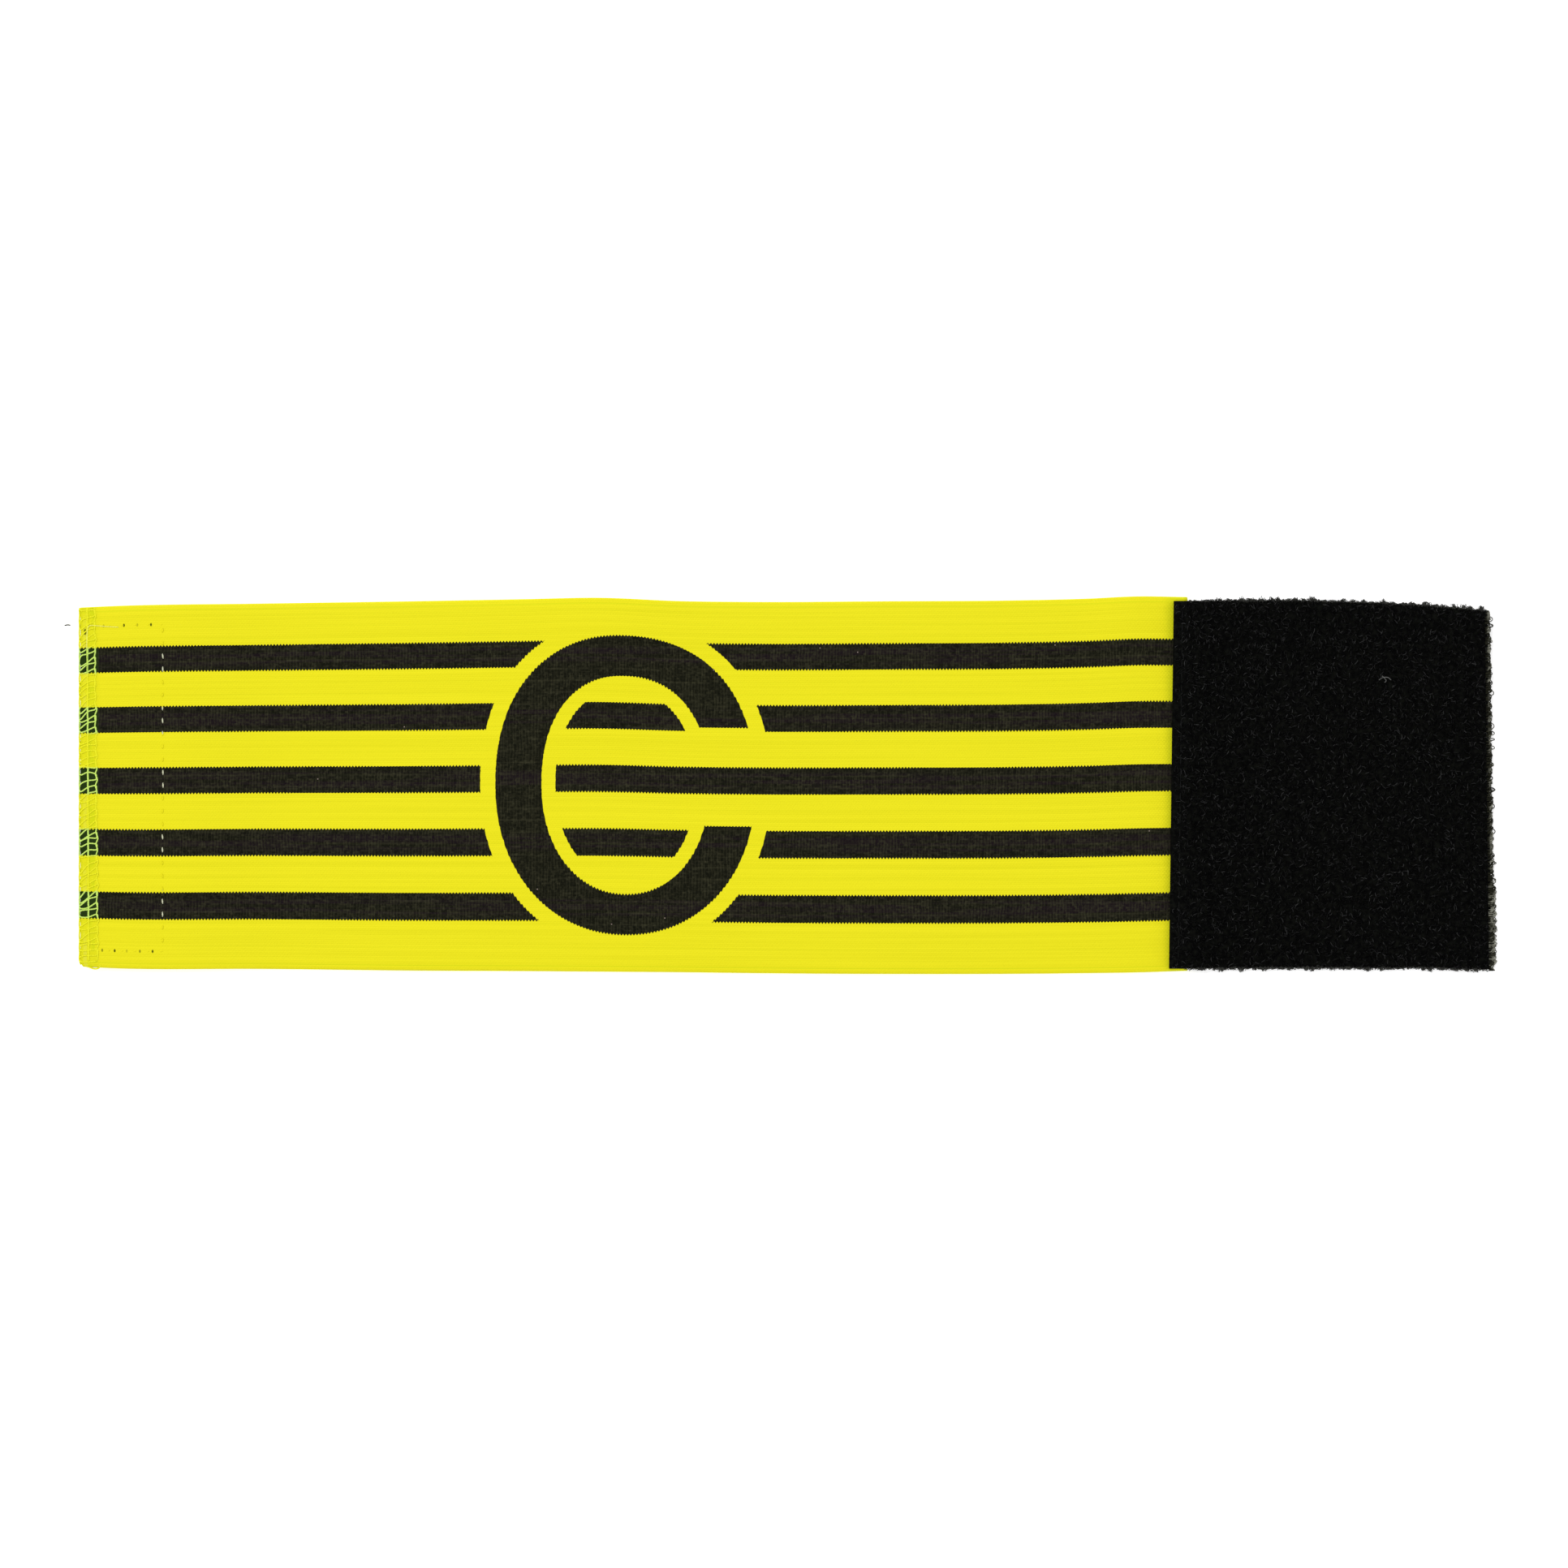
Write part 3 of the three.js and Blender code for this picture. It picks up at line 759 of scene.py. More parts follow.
def printed(u, v):
    """1 where the webbing is printed and 0 where it is bare."""
    right = inside(LETTER_ALONG - u)
    outer = inside(oval(u, v, (0, 0)))
    inner = inside(oval(u, v, (-LETTER_STEM, -LETTER_BAR)))
    opening = right * inside(abs(v - LETTER_OPENING_RAISED) - LETTER_OPENING / 2)
    letter = outer * (1 - inner) * (1 - opening)
    height = stripe_height(v)
    stripes = inside(from_stripe(height))
    keyline_outer = inside(oval(u, v, (KEYLINE, KEYLINE)))
    keyline_inner = inside(oval(u, v, (-LETTER_STEM - INNER_KEYLINE, -LETTER_BAR - INNER_KEYLINE)))
    through = right * inside(abs(height) - STRIPE_PITCH / 2)
    kept = 1 - keyline_outer * (1 - keyline_inner) * (1 - through)
    return calc("MAXIMUM", letter, stripes * kept)


def dot(u, v, at, size):
    """1 at a needle hole."""
    return soft(((u - at[0]) / size[0]) ** 2 + ((v - at[1]) / size[1]) ** 2, 1.5, 0.3)


def pick_place(u, v):
    """Picks counted along the webbing, which wander a little."""
    return u / PICK_PITCH + noise(u * 0.08, v * 0.3) * 0.8


def webbing_relief(u, v):
    """Height of the weave: covered ends along the webbing, with picks floating over them in turn."""
    end = v / END_PITCH
    turn = calc("MODULO", calc("FLOOR", end) + 1000, 2)
    pick = waves(pick_place(u, v) + turn * 0.5)
    return pick * PICK_RELIEF + waves(end + 0.5) * END_RELIEF


def webbing_yellow(u, v):
    """The bare webbing's colour, streaked along its yarns, with painted shade in its grooves and by
    the panel.
    """
    yarn = chance(v / END_PITCH + 500) * 0.5 + noise(u * 0.02, v * 1.3, 3)
    colour = mix(soft(yarn, 0.3, 1.3), YELLOW, YELLOW_DEEP)
    # Painted shade: a greener tint in the rib grooves
    rib = waves(v / RIB_PITCH)
    colour = mix(soft(rib, 0.93, 1) * 0.07, colour, YELLOW_GREEN)
    # Painted shade on the webbing next to the panel, which stands higher
    panel_shade = soft(u, PANEL_START - 2.4, PANEL_START) * 0.45
    selvedge = inside(abs(abs(v) - BAND_HALF + SELVEDGE_LINE) - SELVEDGE_LINE_HALF) * 0.4
    return mix(calc("MAXIMUM", panel_shade, selvedge), colour, YELLOW_GREEN)


def under_overlock(u, v, colour):
    """Pale and green streaks that the lime thread leaves on the yellow."""
    patchy = soft(noise(u * 0.4, v * 0.22), 0.35, 0.6)
    pale = inside(abs(u - 1) - 0.4) * patchy
    green = inside(abs(u - 2.45) - 0.65) * (1 - patchy * 0.6)
    colour = mix(pale * 0.45, colour, YELLOW_PALE)
    return mix(calc("MAXIMUM", green * 0.75, soft(u, 4.5, 3) * 0.3), colour, YELLOW_GREEN)


def ink(u, v):
    """Print on the weave: olive at the stripes' edges, browner inside, with lighter picks."""
    turn = calc("FLOOR", v / END_PITCH)
    place = pick_place(u, v)
    lit = chance(place + 40, v / 1.5)
    floats = chance(u / PICK_PITCH + turn * 0.5, v / END_PITCH)
    fleck = soft(noise(u * 1.6, v * 2.2, 3), 0.45, 0.75)
    rib = soft(waves(v / RIB_PITCH), 0.86, 1) * soft(noise(u * 0.12, v * 0.6), 0.4, 0.62)
    light = waves(place) * lit * PICK_TONE + floats ** 3 * FLOAT_TONE + fleck * FLECK_TONE
    light = light + rib * RIB_TONE
    within_stripe = soft(from_stripe(stripe_height(v)), -0.7, -1.7)
    core = within_stripe * soft(noise(u * 0.025, v * 1.2 + 30), 0.35, 0.6)
    colour = mix(core, INK, INK_VIOLET)
    colour = mix(light, colour, INK_LIGHT)
    speck = calc("GREATER_THAN", chance(u / SPECK + 700, v / SPECK), 1 - SPECK_SHARE)
    colour = mix(speck * 0.8, colour, INK_SPECK)
    return mix(soft(u, 4.2, 3.4) * 0.8, colour, INK_GREEN)


def needle_holes(u, v):
    """Dark where the box stitch pierces the webbing and where the overlock gapes."""
    marks = dot(u, v, GAP_IN_OVERLOCK, GAP_SIZE)
    for row, holes in zip(BOX_ROWS, (UPPER_HOLES, LOWER_HOLES)):
        for along, weight in holes:
            marks = marks + dot(u, v, (along, row), HOLE_SIZE) * weight
    return calc("MINIMUM", marks, 1)


def webbing_face():
    material, shader, u, v = new_material("webbing printed", WEBBING_ROUGHNESS, sheen=WEBBING_SHEEN)
    tooth = abs(calc("FRACT", u / PICK_PITCH) - 0.5) * 2 - 0.5
    strength = soft(noise(u * 0.05, v * 0.2), 0.3, 0.55) * TEETH + LEAST_TEETH
    jog = (chance(v / END_PITCH + 900) - 0.5) * 0.08
    covered = printed(u + jog, v + tooth * strength)
    yellow = under_overlock(u, v, webbing_yellow(u, v))
    yellow = mix(needle_holes(u, v), yellow, HOLE)
    paint(shader, mix(covered, yellow, ink(u, v)))
    emboss(shader, webbing_relief(u, v))
    return material


def webbing_back():
    material, shader, u, v = new_material("webbing back", BACK_ROUGHNESS, sheen=WEBBING_SHEEN)
    paint(shader, webbing_yellow(u, v))
    emboss(shader, webbing_relief(u, v))
    return material


def plies(run, around):
    """1 on a thread's plies and 0 in the grooves between them."""
    return waves(run / PLY_LENGTH + around * 2)


def twisted(name, roughness, first, second, gloss=THREAD_GLOSS):
    """Thread of two plies, a little different from stitch to stitch."""
    material, shader, run, around = new_material(name, roughness, gloss)
    ply = plies(run, around)
    tone = noise(run * 0.4, around * 1.7)
    paint(shader, mix(soft(tone + ply * 0.3, 0.4, 1), first, second))
    emboss(shader, ply * PLY_RELIEF)
    return material


def thread_over_print(name, on_black, on_yellow):
    """Thin thread that takes on some of the colour of the webbing below it."""
    material, shader, run, around = new_material(name, THREAD_ROUGHNESS, THREAD_GLOSS)
    y, z = place_on_part(shader)[1:]
    share, width = BAND_OUTLINE[0][1:]
    v = (y / MM + (SHIFT_Y - BAND_WIDTH * share)) / width
    on_stripe = soft(from_stripe(stripe_height(v)), 0.4, -0.3)
    on_tape = calc("LESS_THAN", z / MM, PATCH_LIFT)
    paint(shader, mix(calc("MAXIMUM", on_stripe, on_tape), on_yellow, on_black))
    emboss(shader, plies(run, around) * PLY_RELIEF)
    return material


def strand_tone(run, around, low, high):
    """A tone that differs from one strand to the next, and a little along each."""
    return soft(chance(around + 0.001), low, high) * soft(noise(run * 0.9, around * 3), 0.3, 0.6)


def fibre_tones(name, colour, lighter, low, high, gloss):
    """Fibres in every tone between two colours from one fibre to the next; on the pile the lighter one
    is a painted highlight.
    """
    material, shader, run, around = new_material(name, THREAD_ROUGHNESS, gloss)
    paint(shader, mix(strand_tone(run, around, low, high), colour, lighter))
    return material


def ground_cloth(name, colour, lighter, lump):
    material, shader, p, v = new_material(name, 0.85, 0.01)
    lumps = noise(p * lump, v * lump, 4)
    knit = chance(p / 0.9, v / 0.7)
    paint(shader, mix(soft(lumps, 0.35, 0.75), colour, lighter))
    emboss(shader, lumps * 0.12 + knit * 0.03)
    return material


def plain_fibre(name, colour, gloss=0.04):
    darker = tuple(part * 0.6 for part in colour[:3]) + (1,)
    return fibre_tones(name, darker, colour, -0.4, 0.6, gloss)


# Pieces

def cross_map(stations, sides):
    """The flat map of rings: a row for each station."""
    return np.stack(np.broadcast_arrays(stations[:, None], sides[None]), -1)


def rib_sides(shares):
    """Places across the webbing, thicker where a rib turns down into a groove."""
    ribs = np.arange(-BAND_HALF, BAND_HALF, RIB_PITCH)
    return np.append((ribs[:, None] + RIB_PITCH * np.array(shares)).ravel(), BAND_HALF)


def rib_drop(v):
    turn = np.abs(np.sin(math.pi * (v + BAND_HALF) / RIB_PITCH))
    return GROOVE * (1 - turn ** 0.4)


def make_band():
    """The ribbed webbing, with the print in its upper face."""
    stations = np.linspace(0, BAND_LENGTH, WEBBING_STATIONS)
    top = rib_sides((0, 0.07, 0.2, 0.5, 0.8, 0.93))
    under = rib_sides((0, 0.12, 0.5, 0.88))[::-1]
    outermost = BAND_HALF + SELVEDGE_BULGE
    sides = np.concatenate([top, [outermost], under, [-outermost]])
    u, v = stations[:, None], sides[None]
    heights = np.concatenate([
        band_face(u, top[None], 1) - rib_drop(top),
        band_under(u, BAND_HALF) + BAND_THICKNESS / 2,
        band_face(u, under[None], -1) + rib_drop(under),
        band_under(u, -BAND_HALF) + BAND_THICKNESS / 2,
    ], axis=1)
    rings = in_frame(u + past_corner(u, v), band_across(u, v), heights)
    heap = Heap()
    is_back = np.arange(len(sides)) > len(top)
    add_shell(heap, rings, cross_map(stations, sides), is_back.astype(int))
    band = heap.build("webbing", "elastic_yellow", webbing_face(), webbing_back())
    stripes = [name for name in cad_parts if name.startswith("stripe_")]
    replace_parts(band, "band", "letter_c", *stripes)
    return band


def stitch_row(length, pitch):
    """Evenly spaced stitches, centred across that length."""
    count = int(length / pitch)
    return (np.arange(count) - (count - 1) / 2) * pitch


def looper_path(place, rows, lines, past_cut, slants):
    """The thread that zigzags between the needle lines and past the cloth's cut."""
    points = []
    half = STITCH_PITCH / 2
    for v, (inner, out, back) in zip(rows, slants):
        points += [
            place(lines[1], v, 0.03), place(lines[0], v + inner, 0.02),
            place(CUT_MARGIN, v + inner + out, 0),
            place(-past_cut, v + inner + out + half / 2, -WRAP_DROP),
            place(CUT_MARGIN, v + inner + back + half, 0), place(lines[0], v + inner / 2 + half, 0.04),
            place(lines[1], v + half, 0.03), place(lines[1] + LOOPER_SWAY, v + half * 1.5, 0.02),
        ]
    return rounded(points, 4)


def needle_path(place, line, rows, wobble):
    """The thread along a needle line, which sinks in at each stitch."""
    points = []
    for v in rows:
        between = line + wobble * rng.uniform(0.1, 1)
        points += [place(line, v, -0.03), place(between, v + STITCH_PITCH / 2, 0.09)]
    return rounded(points, 5)


def over_end(u, v, rise):
    """A place over the webbing's overlocked end, or past its cut where u is less than 0."""
    reach = BAND_HALF - TOP_THREAD_FROM_SIDE
    v = np.clip(v, -reach, reach)
    inside_cloth = max(u, 0) * (1 - OVERLOCK_LEAN * v / BAND_HALF)
    return on_band(inside_cloth, v, rise) + np.array([min(u, 0) * MM, 0, 0])


def under_end(u, v, rise):
    """A place below the same end: under the hook tape, and at its sides under the webbing."""
    on_tape = abs(v) < BAND_HALF - PATCH_INSET
    low = (HOOK_HEIGHT if on_tape else PATCH_LIFT) - CLEARANCE
    reach = BAND_HALF - UNDER_THREAD_FROM_SIDE
    v = np.clip(v, -reach, reach)
    return in_frame(u + past_corner(u, v), band_across(np.maximum(u, 0), v), low - rise)


def make_end_overlock():
    """Lime thread over the left end, under it, along its needle lines and along its cut."""
    rows = stitch_row(BAND_WIDTH + STITCH_PITCH, STITCH_PITCH) + OVERLOCK_SHIFT
    slants = np.stack([drift(len(rows), 2, reach) + lean for reach, lean in OVERLOCK_SLANTS], -1)
    slants += rng.uniform(-OVERLOCK_UNEVEN, OVERLOCK_UNEVEN, slants.shape)
    slants[:2] *= OVERLOCK_CORNER_SLANT
    heap = Heap()
    for place, past_cut, order in zip((over_end, under_end), LOOPER_PAST_CUT, (1, -1)):
        path = looper_path(place, rows, NEEDLE_LINES, past_cut, slants[::order])
        add_tubes(heap, [path], LOOPER_RADIUS, 7)
    for line, wobble, radius in zip(NEEDLE_LINES, NEEDLE_WOBBLES, NEEDLE_RADII):
        add_tubes(heap, [needle_path(over_end, line, rows, wobble)], radius, 6)
    chain_end = [on_band(u, -BAND_HALF + past, rise) for u, past, rise in CHAIN_END]
    add_tubes(heap, [rounded(chain_end, 5)], THREAD_RADIUS, 6)
    first, last = EDGE_CHAIN_ENDS
    links = np.arange(-BAND_HALF + first, BAND_HALF - last, EDGE_CHAIN_PITCH)
    edge = [over_end(-EDGE_CHAIN_OUT[k % 2], v, -EDGE_CHAIN_DROP[k % 2]) for k, v in enumerate(links)]
    add_tubes(heap, [rounded(edge, 5)], THREAD_RADIUS, 6)
    lime = thread_over_print("lime thread", LIME, LIME_ON_YELLOW)
    piece = heap.build("end_overlock_threads", "thread_lime", lime)
    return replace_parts(piece, "end_overlock")


def stitch_lift(share, middle):
    """Height of a stitch above its cloth, from its middle down to where it dips in."""
    return middle - STITCH_DIP * np.abs(share) ** 2.5


def make_box_stitches():
    """The stitches that hold the hook tape: one line across, and a row along each side."""
    heap = Heap()
    share = np.linspace(-1, 1, 9)
    lift = stitch_lift(share, BOX_STITCH_LIFT)
    radius = BOX_STITCH_RADIUS * (1 - 0.75 * np.abs(share) ** 2)
    down = np.arange(BOX_ROWS[0] - BOX_STITCH_LENGTH, BOX_ROWS[1], -BOX_STITCH_PITCH)
    wander = drift(len(down), 3, BOX_STITCH_WANDER)
    half = BOX_STITCH_LENGTH / 2
    paths = []
    for v, off in zip(down, wander):
        slant = share * rng.uniform(-BOX_STITCH_SLANT, BOX_STITCH_SLANT)
        paths.append(on_band(BOX_STITCH_ALONG + off + slant, v + share * half, lift))
    for row in BOX_ROWS:
        for u in np.arange(BOX_STITCH_START, BOX_STITCH_ALONG, BOX_STITCH_PITCH):
            paths.append(on_band(u + share * half, row, lift - BOX_ROW_SINK))
    add_tubes(heap, paths, radius, 6)
    thread = thread_over_print("box stitch thread", STITCH_ON_BLACK, YELLOW)
    return heap.build("box_stitches", "thread_lime", thread)


def make_hook_tape():
    """The ground cloth of the hook tape behind the left end."""
    reach = BAND_HALF - PATCH_INSET
    stations = np.linspace(TAPE_FROM_CUT, PATCH_LENGTH, TAPE_STATIONS)
    sides = np.linspace(-reach, reach, TAPE_SIDES)
    ring = np.concatenate([sides, sides[::-1]])
    rise = np.repeat([PATCH_BASE, 0], len(sides))
    u = stations[:, None]
    heap = Heap()
    rings = in_frame(u, band_across(u, ring[None]), HOOK_HEIGHT + rise[None])
    add_shell(heap, rings, cross_map(stations, ring))
    cloth = ground_cloth("hook tape cloth", TAPE, UNDYED_DARK, 1.1)
    tape = heap.build("hook_tape", "hook_black", cloth)
    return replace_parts(tape, "hook_patch")


def make_hooks():
    """Hooks in rows, each row turned the other way."""
    reach = BAND_HALF - PATCH_INSET - HOOKS_FROM_SIDE
    rows = np.linspace(HOOKS_FROM_CUT[0], PATCH_LENGTH - HOOKS_FROM_CUT[1], HOOK_ROWS)
    u, v = np.meshgrid(rows, np.linspace(-reach, reach, HOOKS_IN_ROW))
    turn = np.where(np.arange(HOOK_ROWS) % 2, 1, -1) * np.ones_like(u)
    u, v, turn = u.ravel()[:, None], v.ravel()[:, None], turn.ravel()[:, None]
    v = v + rng.uniform(-HOOK_UNEVEN, HOOK_UNEVEN, v.shape)
    y = band_across(u, v) + turn * HOOK_OUT
    heap = Heap()
    paths = in_frame(u + HOOK_LEAN * HOOK_OUT, y, HOOK_HEIGHT - HOOK_DROP)
    add_tubes(heap, paths, HOOK_RADIUS, 4)
    return heap.build("hooks", "hook_black", plain_fibre("hook nylon", TAPE, 0.3))


def make_panel():
    """The panel's ground cloth, lumpy where the pile grows from it."""
    along = np.linspace(GROUND_FROM_CUT, PANEL_LENGTH - GROUND_FROM_CUT, PANEL_STATIONS)
    stations = np.concatenate([[-NEAR_CUT_OUT], along])
    even = np.linspace(-1, 1, PANEL_SIDES)
    sides = PANEL_HALF * (0.65 * even + 0.35 * np.sin(even * math.pi / 2))
    half = len(sides)
    ring = np.concatenate([sides, sides[::-1]])
    p, v = stations[:, None], ring[None]
    under = panel_under(p, v)
    top = under + panel_base(p, v)
    lumps = rng.normal(0, GROUND_LUMPS, (len(stations), half))
    piled = p > BARE_STRIP
    near_cut = (p < 0) * NEAR_CUT_DROP
    heights = np.concatenate([top[:, :half] + lumps * piled - near_cut, under[:, half:]], axis=1)
    u, y = panel_place(p, v)
    heap = Heap()
    add_shell(heap, in_frame(u, y, heights), cross_map(stations, ring))
    cloth = ground_cloth("loop ground", PILE, STRIP, 0.9)
    panel = heap.build("loop_panel_ground", "loop_black", cloth)
    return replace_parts(panel, "loop_panel")


def pile_loops(p, v, wide, high, lean_p, lean_v):
    """Small standing loops, each turned its own way."""
    turn = rng.uniform(0, 2 * math.pi, len(p))[:, None]
    t = np.array([0, 0.16, 0.38, 0.62, 0.84, 1])[None]
    bow = np.sin(math.pi * t)
    reach = (t - 0.5) * (1 + 0.9 * bow) * wide[:, None]
    along = np.cos(turn) * reach + lean_p[:, None] * bow
    across = np.sin(turn) * reach + lean_v[:, None] * bow
    rise = (high[:, None] + LOOP_SINK) * bow ** 0.8 - LOOP_SINK
    ground = panel_under(p, v) + panel_base(p, v)
    u, y = panel_place(p, v)
    return in_frame(u[:, None] + along, y[:, None] + across, ground[:, None] + rise)


def pile_piece(name, count, wide, high, radius, fibre):
    """One piece of the pile, pressed flat under the overlock and worn on the bare strip."""
    near, far = LOOPS_FROM_CUTS
    reach = PANEL_HALF - LOOPS_FROM_SIDE
    p = rng.uniform(near, PANEL_LENGTH - far, count)
    v = rng.uniform(-reach, reach, count)
    under_stitches = np.where(p > PANEL_LENGTH - PANEL_OVERLOCK_WIDTH, LOOPS_UNDER_STITCHES, 1)
    on_strip = np.where(p < BARE_STRIP, LOOPS_ON_STRIP, 1)
    lean_p, lean_v = rng.normal(0, LOOP_LEAN, (2, count))
    wide = rng.uniform(*wide, count)
    high = rng.uniform(*high, count) * under_stitches * on_strip
    loops = pile_loops(p, v, wide, high, lean_p, lean_v)
    heap = Heap()
    add_tubes(heap, loops, radius, 3)
    return heap.build(name, "loop_black", fibre)


def make_pile():
    """Short loops all over, and longer ones that stray over them; all have painted highlights,
    brightest on the strays.
    """
    # Painted highlights: dim ones on the short loops, brighter ones on the strays
    dark = fibre_tones("pile fibre", PILE, PILE_LIT, 0, 1.2, 0.02)
    light = fibre_tones("stray pile fibre", PILE, PILE_HIGHLIGHT, 0, 1.3, 0.03)
    count = PILE_LOOPS // PILE_PIECES
    high = LOOP_HEIGHTS * PILE_HEIGHT
    pieces = [
        pile_piece(f"pile_{number + 1}", count, LOOP_WIDTHS, high, FIBRE_RADIUS, dark)
        for number in range(PILE_PIECES)
    ]
    stray_high = high * STRAY_LOOP_HEIGHT
    stray_radius = FIBRE_RADIUS * STRAY_LOOP_THICKNESS
    strays = pile_piece("pile_strays", PILE_STRAYS, STRAY_LOOP_WIDTHS, stray_high, stray_radius, light)
    return [*pieces, strays]


def make_fringe():
    """Loops that lean out past the panel's long edges, some of them in tufts."""
    heap = Heap()
    for side, even_reach, tuft_reach in FRINGE_SIDES:
        tufts = np.cumsum(rng.uniform(*TUFT_GAPS, 60)) + BARE_STRIP + 2
        tufts = tufts[tufts < PANEL_LENGTH - 1]
        size = rng.uniform(0, 1, len(tufts)) ** 0.7
        member = rng.integers(0, len(tufts), FRINGE_LOOPS)
        even = rng.uniform(BARE_STRIP, PANEL_LENGTH - 0.8, FRINGE_LOOPS)
        tufted = tufts[member] + rng.normal(0, 0.3, FRINGE_LOOPS)
        even_out = rng.uniform(0.1, 1, FRINGE_LOOPS) * even_reach
        tuft_out = rng.uniform(0.2, 1, FRINGE_LOOPS) * size[member] * tuft_reach
        p = np.clip(np.concatenate([even, tufted]), BARE_STRIP, PANEL_LENGTH - 0.5)
        out = side * np.concatenate([even_out, tuft_out])
        v = side * (PANEL_HALF - rng.uniform(0, 0.3, len(p)))
        wide = rng.uniform(0.3, 0.7, len(p))
        high = rng.uniform(-0.7, 0.4, len(p))
        lean = rng.normal(0, 0.2, len(p))
        add_tubes(heap, pile_loops(p, v, wide, high, lean, out), FRINGE_RADIUS, 3)
    return heap.build("edge_fringe", "loop_black", plain_fibre("fringe fibre", FRINGE))


def make_panel_stitches():
    """The seam that holds the panel on the webbing."""
    heap = Heap()
    share = np.linspace(-1, 1, 7)
    lift = stitch_lift(share, SEAM_STITCH_LIFT)
    rows = stitch_row(PANEL_WIDTH - 2 * SEAM_FROM_SIDE, STITCH_PITCH)
    paths = [on_panel(SEAM_ALONG, v + share * SEAM_STITCH_HALF, lift) for v in rows]
    add_tubes(heap, paths, SEAM_STITCH_RADIUS * (1 - 0.6 * share ** 2), 6)
    return heap.build("panel_seam_stitches", "thread_dark", twisted("black thread", 0.55, STRIP, TAPE))


def beyond_panel(across, out, rise):
    """Points past the panel's far cut."""
    p = np.full_like(across, PANEL_LENGTH)
    u, y = panel_place(p, across)
    return in_frame(u + out - CUT_INSET, y, panel_under(p, across) + rise)


def add_edge_loops(heap, places, layers, reach, radius):
    """Loops of thread round the far cut, layer on layer."""
    t = np.linspace(0, 1, 9)[None]
    bow = np.sin(math.pi * t)
    for layer in range(layers):
        v = places[:, None] + rng.uniform(-EDGE_LOOP_UNEVEN, EDGE_LOOP_UNEVEN, (len(places), 1))
        to_corner = np.clip((PANEL_HALF + 0.5 - np.abs(v)) / 1.5, 0.8, 1)
        out = to_corner * reach * rng.uniform(*EDGE_LOOP_REACHES, v.shape) * bow ** 0.6
        across = v + (t - 0.5) * rng.uniform(*EDGE_LOOP_WIDTHS, v.shape) * (1 + 0.5 * bow)
        across = np.clip(across, -PANEL_HALF - EDGE_LOOPS_PAST_SIDE, PANEL_HALF)
        rise = 0.15 + 0.85 * layer / layers + 0.2 * np.cos(math.pi * t)
        add_tubes(heap, beyond_panel(across, out, rise), radius, 5)


def edge_thread(name, low, high, lit_from):
    """Dark next to the panel, with painted light on strands farther out."""
    material, shader, run, around = new_material(name, THREAD_ROUGHNESS)
    x, y = place_on_part(shader)[:2]
    lean = -PANEL_FAR_LEAN / PANEL_HALF
    out = x / MM + y / MM * lean + (SHIFT_U - PANEL_START - PANEL_LENGTH)
    lit = strand_tone(run, around, low, high) * soft(out, lit_from, lit_from + 0.6)
    paint(shader, mix(lit, EDGE_THREAD, EDGE_THREAD_LIT))
    return material


def over_far_end(inwards, v, rise):
    """A place over the panel's overlocked end, counted inwards from its cut."""
    return on_panel(PANEL_LENGTH - CUT_INSET - inwards, np.clip(v, -PANEL_HALF, PANEL_HALF), rise)


def make_panel_overlock():
    """Stitches over the pile, loops round the cut, and more loops crowded near the lower corner."""
    rows = stitch_row(PANEL_WIDTH, STITCH_PITCH)
    slants = np.stack([drift(len(rows), 4, PANEL_OVERLOCK_SLANT) for stroke in range(3)], -1)
    over_pile = Heap()
    path = looper_path(over_far_end, rows, PANEL_NEEDLE_LINES, PANEL_LOOPER_PAST_CUT, slants)
    add_tubes(over_pile, [path], PANEL_LOOPER_RADIUS, 6)
    dark = twisted("overlock thread on pile", 0.7, UNDYED_DARK, PILE, 0.02)
    stitches = over_pile.build("panel_overlock_stitches", "thread_dark", dark)

    round_cut = Heap()
    everywhere = np.arange(-PANEL_HALF, PANEL_HALF, EDGE_LOOP_PITCH)
    add_edge_loops(round_cut, everywhere, 7, 0.92, EDGE_LOOP_RADIUS)
    add_edge_loops(round_cut, everywhere[::2], 2, 1.35, LOOSE_LOOP_RADIUS)
    lit = edge_thread("overlock thread", 0.4, 1.1, -0.4)
    loops = round_cut.build("panel_overlock_loops", "thread_dark", lit)
    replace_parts(loops, "panel_overlock")

    near_corner = Heap()
    places = np.arange(*CROWDED_FROM_CORNER, CROWDED_PITCH) - PANEL_HALF
    add_edge_loops(near_corner, places, 5, 1.3, EDGE_LOOP_RADIUS)
    # Painted light on more of the crowded loops' strands, from nearer the cut
    pale = edge_thread("crowded thread", 0, 0.7, -1)
    crowded = near_corner.build("panel_overlock_crowded", "thread_dark", pale)
    return stitches, loops, crowded


def photo_place(x, y):
    """A pixel of the photograph, in the row frame's millimetres."""
    middle_x, middle_y = ARMBAND_CENTRE
    return (x - middle_x) * PHOTO_MM_PER_PIXEL, (middle_y - y) * PHOTO_MM_PER_PIXEL


def photo_path(points, lift=0):
    """A smooth path through pixels of the photograph, each with its height in millimetres."""
    return rounded([np.array([*photo_place(x, y), z + lift]) * MM for x, y, z in points], 5)


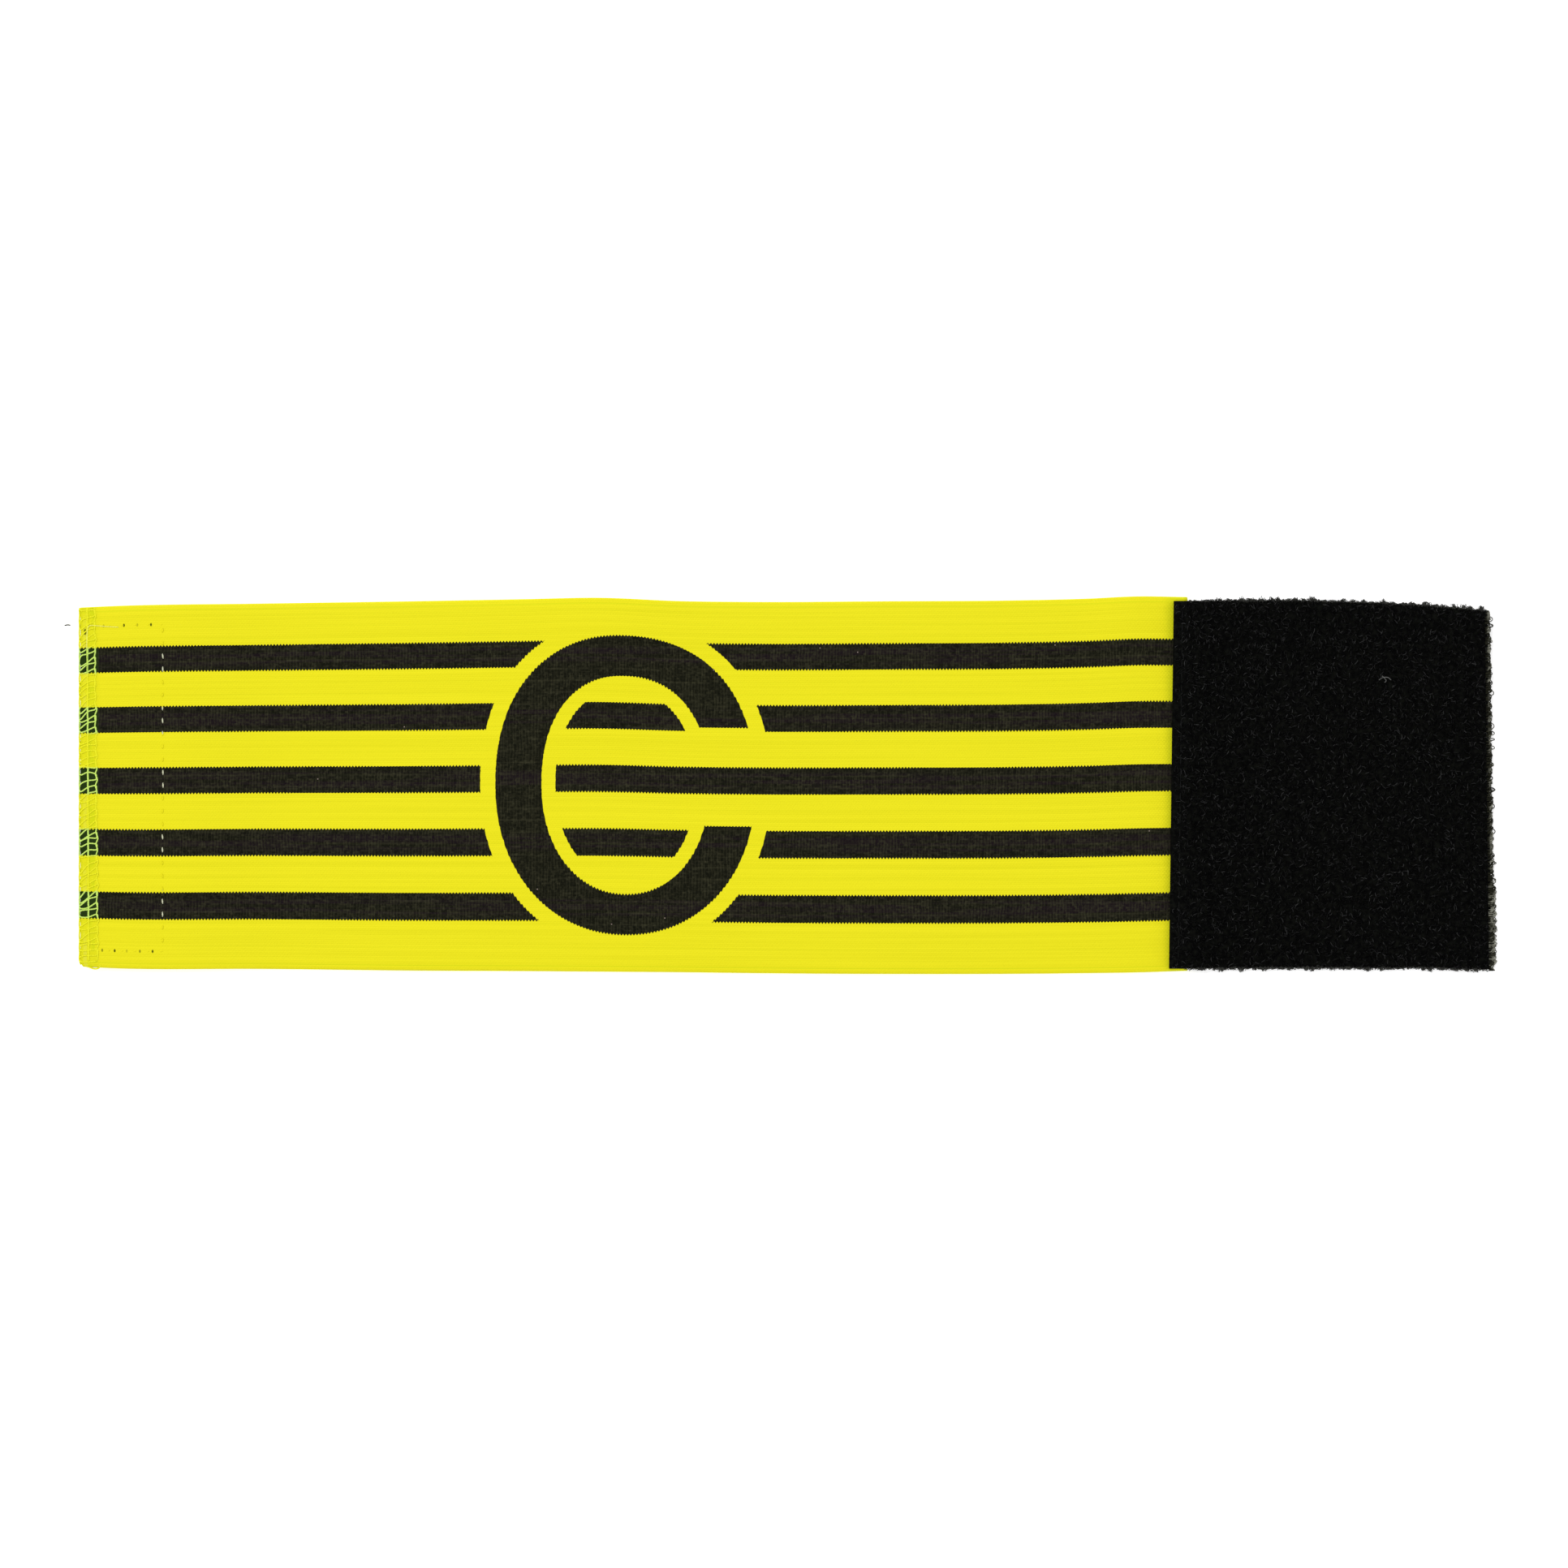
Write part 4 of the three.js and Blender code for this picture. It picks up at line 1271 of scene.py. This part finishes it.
def make_loose_ends():
    """A thread end that lies on the overlock, a wisp at its edge, and lint on the pile."""
    ends = (
        ("thread_end", "thread_lime", [photo_path(THREAD_END_PIXELS, PATCH_LIFT + BAND_THICKNESS)],
         THREAD_END_RADIUS, 5, thread_over_print("loose thread", TAIL_ON_BLACK, TAIL_ON_YELLOW)),
        ("stray_fibre", "thread_dark", [photo_path(STRAY_PIXELS)],
         STRAY_RADIUS, 5, plain_fibre("stray fibre", STRAY)),
        ("lint", "loop_black", [photo_path(wisp) for wisp in LINT_PIXELS],
         LINT_RADIUS, 4, plain_fibre("lint fibre", LINT)),
    )
    pieces = []
    for name, slot, paths, radius, sides, material in ends:
        heap = Heap()
        for path in paths:
            add_tubes(heap, [path], radius, sides)
        pieces.append(heap.build(name, slot, material))
    return pieces


# The stage

def add_camera():
    camera = bpy.data.cameras.new("camera")
    camera.sensor_width = SENSOR_WIDTH
    camera.lens = camera.sensor_width * CAMERA_HEIGHT / (PHOTO_SIDE * PHOTO_MM_PER_PIXEL)
    seen = add_object("camera", camera)
    x, y = photo_place(PHOTO_SIDE / 2, PHOTO_SIDE / 2)
    seen.location = (x * MM, y * MM, CAMERA_HEIGHT * MM)
    bpy.context.scene.camera = seen


def add_light():
    world = bpy.data.worlds.new("studio")
    world.use_nodes = True
    set_inputs(world.node_tree.nodes["Background"], {"Color": WHITE, "Strength": BACKGROUND_LIGHT})
    bpy.context.scene.world = world
    light = bpy.data.lights.new("softbox", "AREA")
    light.size = SOFTBOX_SIDE
    light.energy = SOFTBOX_WATTS
    lamp = add_object("softbox", light)
    lamp.location = SOFTBOX_PLACE
    lamp.rotation_mode = "QUATERNION"
    lamp.rotation_quaternion = lamp.location.to_track_quat("Z", "Y")


def add_floor():
    mesh = bpy.data.meshes.new("floor")
    corners = [(x * FLOOR_HALF, y * FLOOR_HALF, 0) for x, y in CORNER_SIGNS]
    mesh.from_pydata(corners, [], [(0, 1, 2, 3)])
    floor = add_object("floor", mesh)
    floor.location.z = -FLOOR_DROP
    material = bpy.data.materials.new("floor")
    material.use_nodes = True
    shader = material.node_tree.nodes["Principled BSDF"]
    set_inputs(shader, {
        "Base Color": FLOOR_COLOUR, "Roughness": FLOOR_ROUGHNESS, "Specular IOR Level": FLOOR_GLOSS,
        "Emission Color": WHITE, "Emission Strength": FLOOR_GLOW,
    })
    mesh.materials.append(material)


add_camera()
add_light()
add_floor()
bpy.context.scene.view_settings.view_transform = "Standard"

webbing = make_band()
overlock = make_end_overlock()
box_stitches = make_box_stitches()
hook_tape = make_hook_tape()
hooks = make_hooks()
panel = make_panel()
pile = make_pile()
fringe = make_fringe()
seam = make_panel_stitches()
panel_overlock = make_panel_overlock()
tail, stray, lint = make_loose_ends()
